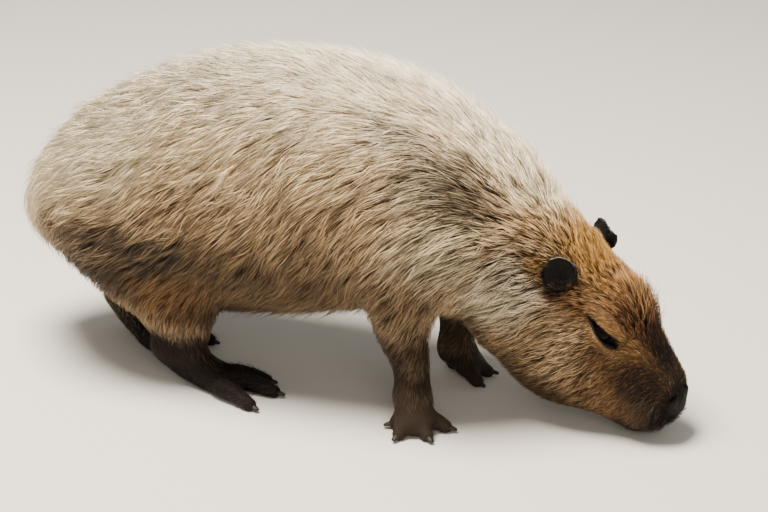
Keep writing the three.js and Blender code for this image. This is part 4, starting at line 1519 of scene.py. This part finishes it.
class CAPYBARA_OT_eyes(bpy.types.Operator):
    """Both eyeballs, with iris and pupil"""

    bl_idname = "capybara.eyes"
    bl_label = "Eyes"

    def execute(self, context):
        """Makes a ball for each eye, with its colours set by the distance from its axis."""
        material = surface("Wet dark eye", wet_eye)
        polar = np.arange(1, EYE_MESH["rows"])[:, None] * math.pi / EYE_MESH["rows"]
        turn = np.arange(EYE_MESH["turns"]) * 2 * math.pi / EYE_MESH["turns"]
        rings = [np.sin(polar) * np.cos(turn), np.sin(polar) * np.sin(turn), np.cos(polar) + 0 * turn]
        ball = closed_rings(np.stack(rings, -1), [(0, 0, 1), (0, 0, -1)])
        local, faces = ball[0] * EYE_RADIUS, ball[1:]
        away = np.hypot(local[:, 0], local[:, 1]) + np.where(local[:, 2] < 0, 20, 0)
        tone = linear(EYE_COLOURS["iris"])[None]
        for colour, share in (
            ("white", smooth_share(away, *EYE_EDGES["white"])),
            ("pupil", 1 - smooth_share(away, *EYE_EDGES["pupil"])),
        ):
            tone = tone * (1 - share[:, None]) + linear(EYE_COLOURS[colour])[None] * share[:, None]
        for name, (centre, axes) in EYES.items():
            order = 1 if np.linalg.det(axes) > 0 else -1
            spots = local @ axes + centre
            mesh = new_mesh("eye_" + name, spots, *(part[:, ::order] for part in faces))
            store(mesh, "iris", "FLOAT_COLOR", tone)
            place("eye_ball_" + name, mesh, material, "eye", ["eye_" + name])
        return {"FINISHED"}


def nail(leg, toe):
    """Rings of one nail from its root to its blunt tip, and the points that close them."""
    _, knuckle, tip = toe_line(leg, toe)
    level = unit((tip - knuckle) * (1, 1, 0))
    aim = unit(level - (0, 0, NAIL["slope"]))
    across = unit(np.cross(aim, (0, 0, 1)))
    top = np.cross(across, aim)
    centre = tip + aim * NAIL["ahead"]
    rows, turns = NAIL_MESH["rows"], NAIL_MESH["turns"]
    t = np.arange(rows + 1)[:, None] / rows
    swell = np.sin(math.pi * np.minimum(0.999, 0.06 + t * 0.94)) ** 0.42
    swell[-1] = 0.22
    wide = NAIL["width"] / 2 * (0.99 - 0.26 * t) * (0.55 + 0.45 * swell)
    deep = NAIL["height"] / 2 * (1.0 - 0.42 * t * t) * (0.5 + 0.5 * swell)
    turn = 2 * math.pi * np.arange(turns) / turns
    high = np.sin(turn) * np.where(np.sin(turn) < 0, NAIL["flat"], 1.0) * deep - NAIL["droop"] * t * t
    parts = ((aim, (t - 0.5) * NAIL["length"] + 0 * turn), (across, wide * np.cos(turn)), (top, high))
    rings = centre + sum(size[..., None] * axis for axis, size in parts)
    reach = aim * NAIL["length"] / 2
    return rings, [centre - reach, centre + reach + aim * 0.3 - top * NAIL["droop"]]


class CAPYBARA_OT_nails(bpy.types.Operator):
    """The blunt nails of all four feet"""

    bl_idname = "capybara.nails"
    bl_label = "Nails"

    def execute(self, context):
        """Makes one piece of each foot's nails."""
        material = surface("Worn nail horn", nail_horn)
        for name, leg in LEGS.items():
            limb = name.replace("leg", "")
            parts = []
            for toe in TOES[leg["toes"]]["toes"]:
                start = sum(len(part[0]) for part in parts)
                parts.append(closed_rings(*nail(leg, toe), start))
            nodes = [f"nail_{limb}_{i + 1}" for i in range(len(parts))]
            mesh = new_mesh("nails_" + limb, *(np.concatenate(part) for part in zip(*parts)))
            place("nails_" + limb, mesh, material, "horn", nodes)
        return {"FINISHED"}


# Where the short coats grow: the head's from here in its own frame, the forelegs' round x within
# reach, and the hind legs' behind each place and below the height beside it
HEAD_COAT_FROM = -30
FORE_COAT = {"x": 140, "reach": 70, "below": 158, "aside": 52}
HIND_COAT = ((-120, 146), (60, 104))
COAT_SEEDS = {"piece": 20, "head": 3, "legs": 4, "head piece": 300, "legs piece": 400}
COAT_TUFTS = {"body": 16, "head": 9, "legs": 9}  # locks in a tuft
HEAD_COAT = {"surface": skin_field, "curl": 0.12, "wild": 0.05, "least": 1.6}
LEG_COAT = {"curl": 0.12, "wild": 0.02, "least": 1.4}
BELLY = {"facing": -0.5, "coat": 0.7}
THINNED = {"head": 1.15, "legs": 0.72}  # how much bare skin thins the coat
SOLE = 6


def coat_zones(centre):
    """Which places carry the head's tufts, the legs' tufts and the body's long locks."""
    x, y, z = centre.T
    head = to_head(centre)[:, 0] > HEAD_COAT_FROM
    fore = (np.abs(x - FORE_COAT["x"]) < FORE_COAT["reach"]) & (np.abs(y) > FORE_COAT["aside"])
    fore = fore & (z < FORE_COAT["below"])
    hind = np.any([(x < back) & (z < high) for back, high in HIND_COAT], axis=0)
    legs = (fore | hind) & ~head
    return {"head": head, "legs": legs, "body": ~head & ~legs}


def coat_roots(weight, gap, seed):
    """Strews roots over the fine skin, where weight allows and gap metres apart."""
    points, quads, _, _ = once("skin", skin_grid)
    return scatter(points, quads, weight, gap / MM, seed)


def grow(name, roots, kind, clump, seed, slot, **lie):
    """Grows one piece of coat from its roots."""
    path, sides, facts = strands(roots, seed, clump, **lie)
    colours = lock_colours(path, facts, seed + 1)
    mesh = lock_mesh(name, path, sides, facts["across"], colours, unwrapped(roots, kind))
    hair = once("hair", lambda: surface("Coarse guard hair", guard_hair))
    place(name, mesh, hair, slot)


class CAPYBARA_OT_long_coat(bpy.types.Operator):
    """The long coarse locks of back, flanks, belly, rump, shoulders and neck"""

    bl_idname = "capybara.long_coat"
    bl_label = "Long coat"

    def execute(self, context):
        """Grows the long coat, a little thinner on the belly."""
        settings = context.scene.capybara_coat
        gap = settings.body_gap * 1
        _, _, centre, out = once("skin", skin_grid)
        belly = np.where(out[:, 2] < BELLY["facing"], BELLY["coat"], 1.0)
        weight = coat_zones(centre)["body"] * belly
        roots = coat_roots(weight, gap, settings.seed)
        for i, (name, low, high) in enumerate(BODY_PIECES):
            mine = roots[(roots[:, 0] >= low) & (roots[:, 0] < high)]
            slot = "straw_fur" if low < 180 else "tan_fur"
            seed = settings.seed + COAT_SEEDS["piece"] * i
            grow(name, mine, "trunk", COAT_TUFTS["body"], seed, slot)
        return {"FINISHED"}


class CAPYBARA_OT_head_coat(bpy.types.Operator):
    """The short tufts of the head, shortest on the muzzle and round the eyes"""

    bl_idname = "capybara.head_coat"
    bl_label = "Head coat"

    def execute(self, context):
        """Grows the head's coat, right and left."""
        settings = context.scene.capybara_coat
        gap = settings.head_gap * 1
        centre = once("skin", skin_grid)[2]
        weight = coat_zones(centre)["head"] * np.clip(1 - bareness(centre) * THINNED["head"], 0, 1)
        roots = coat_roots(weight, gap, settings.seed + COAT_SEEDS["head"])
        right = to_head(roots)[:, 1] < 0
        seed = settings.seed + COAT_SEEDS["head piece"]
        for i, (side, mine) in enumerate((("right", roots[right]), ("left", roots[~right]))):
            name = "coat_face_" + side
            grow(name, mine, "head", COAT_TUFTS["head"], seed + i, "ginger_fur", **HEAD_COAT)
        return {"FINISHED"}


class CAPYBARA_OT_leg_coat(bpy.types.Operator):
    """The short tufts of shanks and forearms, down to the ankles"""

    bl_idname = "capybara.leg_coat"
    bl_label = "Leg coat"

    def execute(self, context):
        """Grows the legs' coat, clear of the floor."""
        settings = context.scene.capybara_coat
        gap = settings.leg_gap * 1
        centre = once("skin", skin_grid)[2]
        weight = coat_zones(centre)["legs"] * np.clip(1 - bareness(centre) * THINNED["legs"], 0, 1)
        weight = weight * (centre[:, 2] > SOLE)
        roots = coat_roots(weight, gap, settings.seed + COAT_SEEDS["legs"])
        seed = settings.seed + COAT_SEEDS["legs piece"]
        grow("coat_legs", roots, "legs", COAT_TUFTS["legs"], seed, "brown_fur", **LEG_COAT)
        return {"FINISHED"}


def bristle_tree():
    """Geometry nodes that strew thin bent cones over a patch of skin, leaning with the hair."""
    tree = bpy.data.node_groups.new("strewn bristles", "GeometryNodeTree")
    for name, kind in BRISTLE_SOCKETS.items():
        tree.interface.new_socket(name, in_out="INPUT", socket_type="NodeSocket" + kind)
    tree.interface.new_socket("Bristles", in_out="OUTPUT", socket_type="NodeSocketGeometry")
    given = node(tree, "NodeGroupInput")

    # one bristle, standing on the origin and bending towards +X
    factor = node(tree, "GeometryNodeSplineParameter")["Factor"]
    up = {0: (0.0, 0.0, 0.55), "Scale": given["Length"]}
    middle = node(tree, "ShaderNodeVectorMath", up, operation="SCALE")["Vector"]
    lean = node(tree, "ShaderNodeCombineXYZ", {"X": given["Lean"], "Z": 0.85})["Vector"]
    over = {0: lean, "Scale": given["Length"]}
    end = node(tree, "ShaderNodeVectorMath", over, operation="SCALE")["Vector"]
    bend = {"Resolution": 5, "Start": (0.0, 0.0, 0.0), "Middle": middle, "End": end}
    shaft = node(tree, "GeometryNodeCurveQuadraticBezier", bend)["Curve"]
    half = {0: given["Thickness"], 1: 0.5}
    radius = node(tree, "ShaderNodeMath", half, operation="MULTIPLY")["Value"]
    ring = node(tree, "GeometryNodeCurvePrimitiveCircle", {"Resolution": 5, "Radius": radius})["Curve"]
    curves = []
    for curve, name in ((shaft, "along"), (ring, "around")):
        kept = {"Geometry": curve, "Name": name, "Value": factor}
        stored = node(tree, "GeometryNodeStoreNamedAttribute", kept, data_type="FLOAT", domain="POINT")
        curves.append(stored["Geometry"])
    narrowing = {0: factor, 1: -0.9, 2: 1.0}
    taper = node(tree, "ShaderNodeMath", narrowing, operation="MULTIPLY_ADD")["Value"]
    skinned = {"Curve": curves[0], "Profile Curve": curves[1], "Scale": taper, "Fill Caps": True}
    bristle = node(tree, "GeometryNodeCurveToMesh", skinned)["Mesh"]

    # strewn over the patch, each between the skin's outward direction and the hair's lie
    found = [("lie", "FLOAT_VECTOR"), ("place", "FLOAT_VECTOR"), ("along", "FLOAT"), ("around", "FLOAT")]
    lie, corner, along, around = (
        node(tree, "GeometryNodeInputNamedAttribute", {"Name": name}, data_type=kind)["Attribute"]
        for name, kind in found
    )
    seed = given["Seed"]
    sown = {"Mesh": given["Patch"], "Distance Min": given["Spacing"], "Seed": seed}
    sown["Density Max"] = 400000.0  # more than the spacing lets stand
    roots = node(tree, "GeometryNodeDistributePointsOnFaces", sown, distribute_method="POISSON")
    stand = node(tree, "ShaderNodeVectorMath", {0: roots["Normal"], 1: lie}, operation="ADD")["Vector"]
    aims = {"Primary Axis": stand, "Secondary Axis": lie}
    facing = node(tree, "FunctionNodeAxesToRotation", aims, primary_axis="Z", secondary_axis="X")
    size = node(tree, "FunctionNodeRandomValue", {2: 0.55, 3: 1.2, "Seed": seed}, data_type="FLOAT")[1]
    each = {"Points": roots["Points"], "Instance": bristle, "Scale": size}
    each["Rotation"] = facing["Rotation"]
    strewn = node(tree, "GeometryNodeInstanceOnPoints", each)["Instances"]
    solid = node(tree, "GeometryNodeRealizeInstances", {"Geometry": strewn})["Geometry"]
    spot = node(tree, "ShaderNodeCombineXYZ", {"X": along, "Y": around})["Vector"]
    patch = {0: spot, 1: (PATCH, PATCH, 0.0), 2: corner}
    flat = node(tree, "ShaderNodeVectorMath", patch, operation="MULTIPLY_ADD")["Vector"]
    kept = {"Geometry": solid, "Name": "OFBake", "Value": flat}
    mapped = node(tree, "GeometryNodeStoreNamedAttribute", kept, data_type="FLOAT2", domain="CORNER")
    smooth = node(tree, "GeometryNodeSetShadeSmooth", {0: mapped["Geometry"]})[0]
    coloured = {"Geometry": smooth, "Material": given["Material"]}
    done = node(tree, "GeometryNodeSetMaterial", coloured)["Geometry"]
    node(tree, "NodeGroupOutput", {"Bristles": done})
    return tree


def strewn_bristles(name, tree, faces, kind, values):
    """A plain mesh of the bristles that the nodes strew over some faces of the skin."""
    points, quads, _, _ = once("skin", skin_grid)
    used, index = np.unique(quads[faces], return_inverse=True)
    spots = points[used]
    mesh = new_mesh(name, spots, index.reshape(-1, 4))
    store(mesh, "lie", "FLOAT_VECTOR", lie_at(spots)[0])
    corner = unwrapped(spots, kind) - PATCH / 2
    store(mesh, "place", "FLOAT_VECTOR", np.column_stack([corner, np.zeros(len(corner))]))
    patch = linked(name, mesh)
    strewing = patch.modifiers.new("bristles", "NODES")
    strewing.node_group = tree
    for socket in tree.interface.items_tree:
        if socket.in_out == "INPUT" and socket.name in values:
            strewing[socket.identifier] = values[socket.name]
    made = plain_mesh(patch, strewing)
    for extra in ("lie", "place", "along", "around", "id"):
        if extra in made.attributes:
            made.attributes.remove(made.attributes[extra])
    if not len(made.polygons):
        raise RuntimeError(f"no bristles on {name}")
    return made


class CAPYBARA_OT_bristles(bpy.types.Operator):
    """Whiskers of the muzzle and the stiff hairs on the toes, strewn by geometry nodes"""

    bl_idname = "capybara.bristles"
    bl_label = "Whiskers and toe hairs"

    def execute(self, context):
        """Strews each kind of bristle over its part of the skin."""
        settings = context.scene.capybara_bristles
        _, _, centre, out = once("skin", skin_grid)
        q = to_head(centre)
        u, v, w = WHISKERS_AT
        muzzle = (np.abs(q[:, 0] - u) < 28) & (np.abs(q[:, 1]) > v) & (np.abs(q[:, 2] - w) < 26)
        toes = (q[:, 0] < -40) & (np.abs(centre[:, 2] - TOE_HAIRS_AT) < 12) & (out[:, 2] > 0.1)
        tree, material = bristle_tree(), surface("Stiff dark whisker", stiff_whisker)
        for name, faces, kind, length, gap in (
            ("whiskers", muzzle, "head", settings.whisker_length, settings.whisker_gap),
            ("toe_hairs", toes, "legs", settings.toe_length, settings.toe_gap),
        ):
            values = {"Length": length, "Spacing": gap, "Seed": settings.seed, "Material": material}
            values.update(BRISTLES[name])
            mesh = strewn_bristles(name, tree, faces, kind, values)
            place(name, mesh, material, "brown_fur")
        return {"FINISHED"}


# The stage, in metres: the camera's place is the photograph's, worked out from the feet and the back
CAMERA = {"at": (1.18315, -2.77153, 1.44764), "back": (0.34609, -0.85661, 0.38268), "sensor": 36.0}
LIGHTS = [
    ("key light", (-0.5, -0.5, 3.0), 1.5, 345.0),
    ("fill light", (1.8, -3.2, 1.8), 2.4, 44.0),
]
LIGHT_AIM = (0.0, 0.0, 0.2)
LIGHT_COLOUR = "#FFF5E8"
STUDIO_COLOUR = "#E9E7E2"
STUDIO_STRENGTH = 0.5


class CAPYBARA_OT_stage(bpy.types.Operator):
    """Plain floor, soft lights and the camera"""

    bl_idname = "capybara.stage"
    bl_label = "Stage"

    def execute(self, context):
        """Sets out the floor, the lights, the camera and the studio's light."""
        settings = context.scene.capybara_stage
        half = settings.floor / MM / 2
        corners = np.array([(-half, -half, 0), (half, -half, 0), (half, half, 0), (-half, half, 0)])
        mesh = new_mesh("floor", corners, np.array([[0, 1, 2, 3]]))
        mesh.materials.append(surface("Matt studio paper", studio_paper))
        made = [linked("floor", mesh)]
        for name, at, size, watts in LIGHTS:
            data = bpy.data.lights.new(name, "AREA")
            data.shape = "DISK"
            data.size = size
            data.energy = watts
            data.color = linear(LIGHT_COLOUR)
            light = linked(name, data)
            light.location = at
            aim = Vector(LIGHT_AIM) - Vector(at)
            light.rotation_euler = aim.to_track_quat("-Z", "Y").to_euler()
            made.append(light)
        data = bpy.data.cameras.new("camera")
        data.lens = settings.lens
        data.sensor_width = CAMERA["sensor"]
        data.dof.use_dof = False
        camera = linked("camera", data)
        camera.location = CAMERA["at"]
        back = Vector(CAMERA["back"]).normalized()
        right = Vector((0, 0, 1)).cross(back).normalized()
        camera.rotation_euler = Matrix((right, back.cross(right), back)).transposed().to_euler()
        context.scene.camera = camera
        world = bpy.data.worlds.new("studio")
        world.use_nodes = True
        background = world.node_tree.nodes["Background"].inputs
        background["Color"].default_value = rgba(STUDIO_COLOUR)
        background["Strength"].default_value = STUDIO_STRENGTH
        context.scene.world = world
        return {"FINISHED"}


class CAPYBARA_PT_panel(bpy.types.Panel):
    """Builds the animal piece by piece"""

    bl_label = "Capybara"
    bl_idname = "CAPYBARA_PT_panel"
    bl_space_type = "VIEW_3D"
    bl_region_type = "UI"
    bl_category = "Capybara"

    def draw(self, context):
        """Lists the settings and the operators."""
        for key in SETTINGS:
            group = getattr(context.scene, key)
            box = self.layout.box()
            for name in group.bl_rna.properties.keys():
                if name not in ("rna_type", "name"):
                    box.prop(group, name)
        for step in OPERATORS:
            self.layout.operator(step.bl_idname)


SETTINGS = {
    "capybara_skin": SkinSettings,
    "capybara_coat": CoatSettings,
    "capybara_bristles": BristleSettings,
    "capybara_stage": StageSettings,
}
OPERATORS = (
    CAPYBARA_OT_skin,
    CAPYBARA_OT_eyes,
    CAPYBARA_OT_nails,
    CAPYBARA_OT_long_coat,
    CAPYBARA_OT_head_coat,
    CAPYBARA_OT_leg_coat,
    CAPYBARA_OT_bristles,
    CAPYBARA_OT_stage,
)
CLASSES = (*SETTINGS.values(), *OPERATORS, CAPYBARA_PT_panel)


def register():
    """Registers the settings, the operators and the panel."""
    for item in CLASSES:
        bpy.utils.register_class(item)
    for key, group in SETTINGS.items():
        setattr(bpy.types.Scene, key, bpy.props.PointerProperty(type=group))


def unregister():
    """Takes the settings, the operators and the panel away again."""
    for key in SETTINGS:
        delattr(bpy.types.Scene, key)
    for item in reversed(CLASSES):
        bpy.utils.unregister_class(item)


def main():
    """Builds the whole animal and its stage."""
    register()
    bpy.ops.capybara.skin()
    bpy.ops.capybara.eyes()
    bpy.ops.capybara.nails()
    bpy.ops.capybara.long_coat()
    bpy.ops.capybara.head_coat()
    bpy.ops.capybara.leg_coat()
    bpy.ops.capybara.bristles()
    bpy.ops.capybara.stage()


if __name__ == "__main__":
    main()
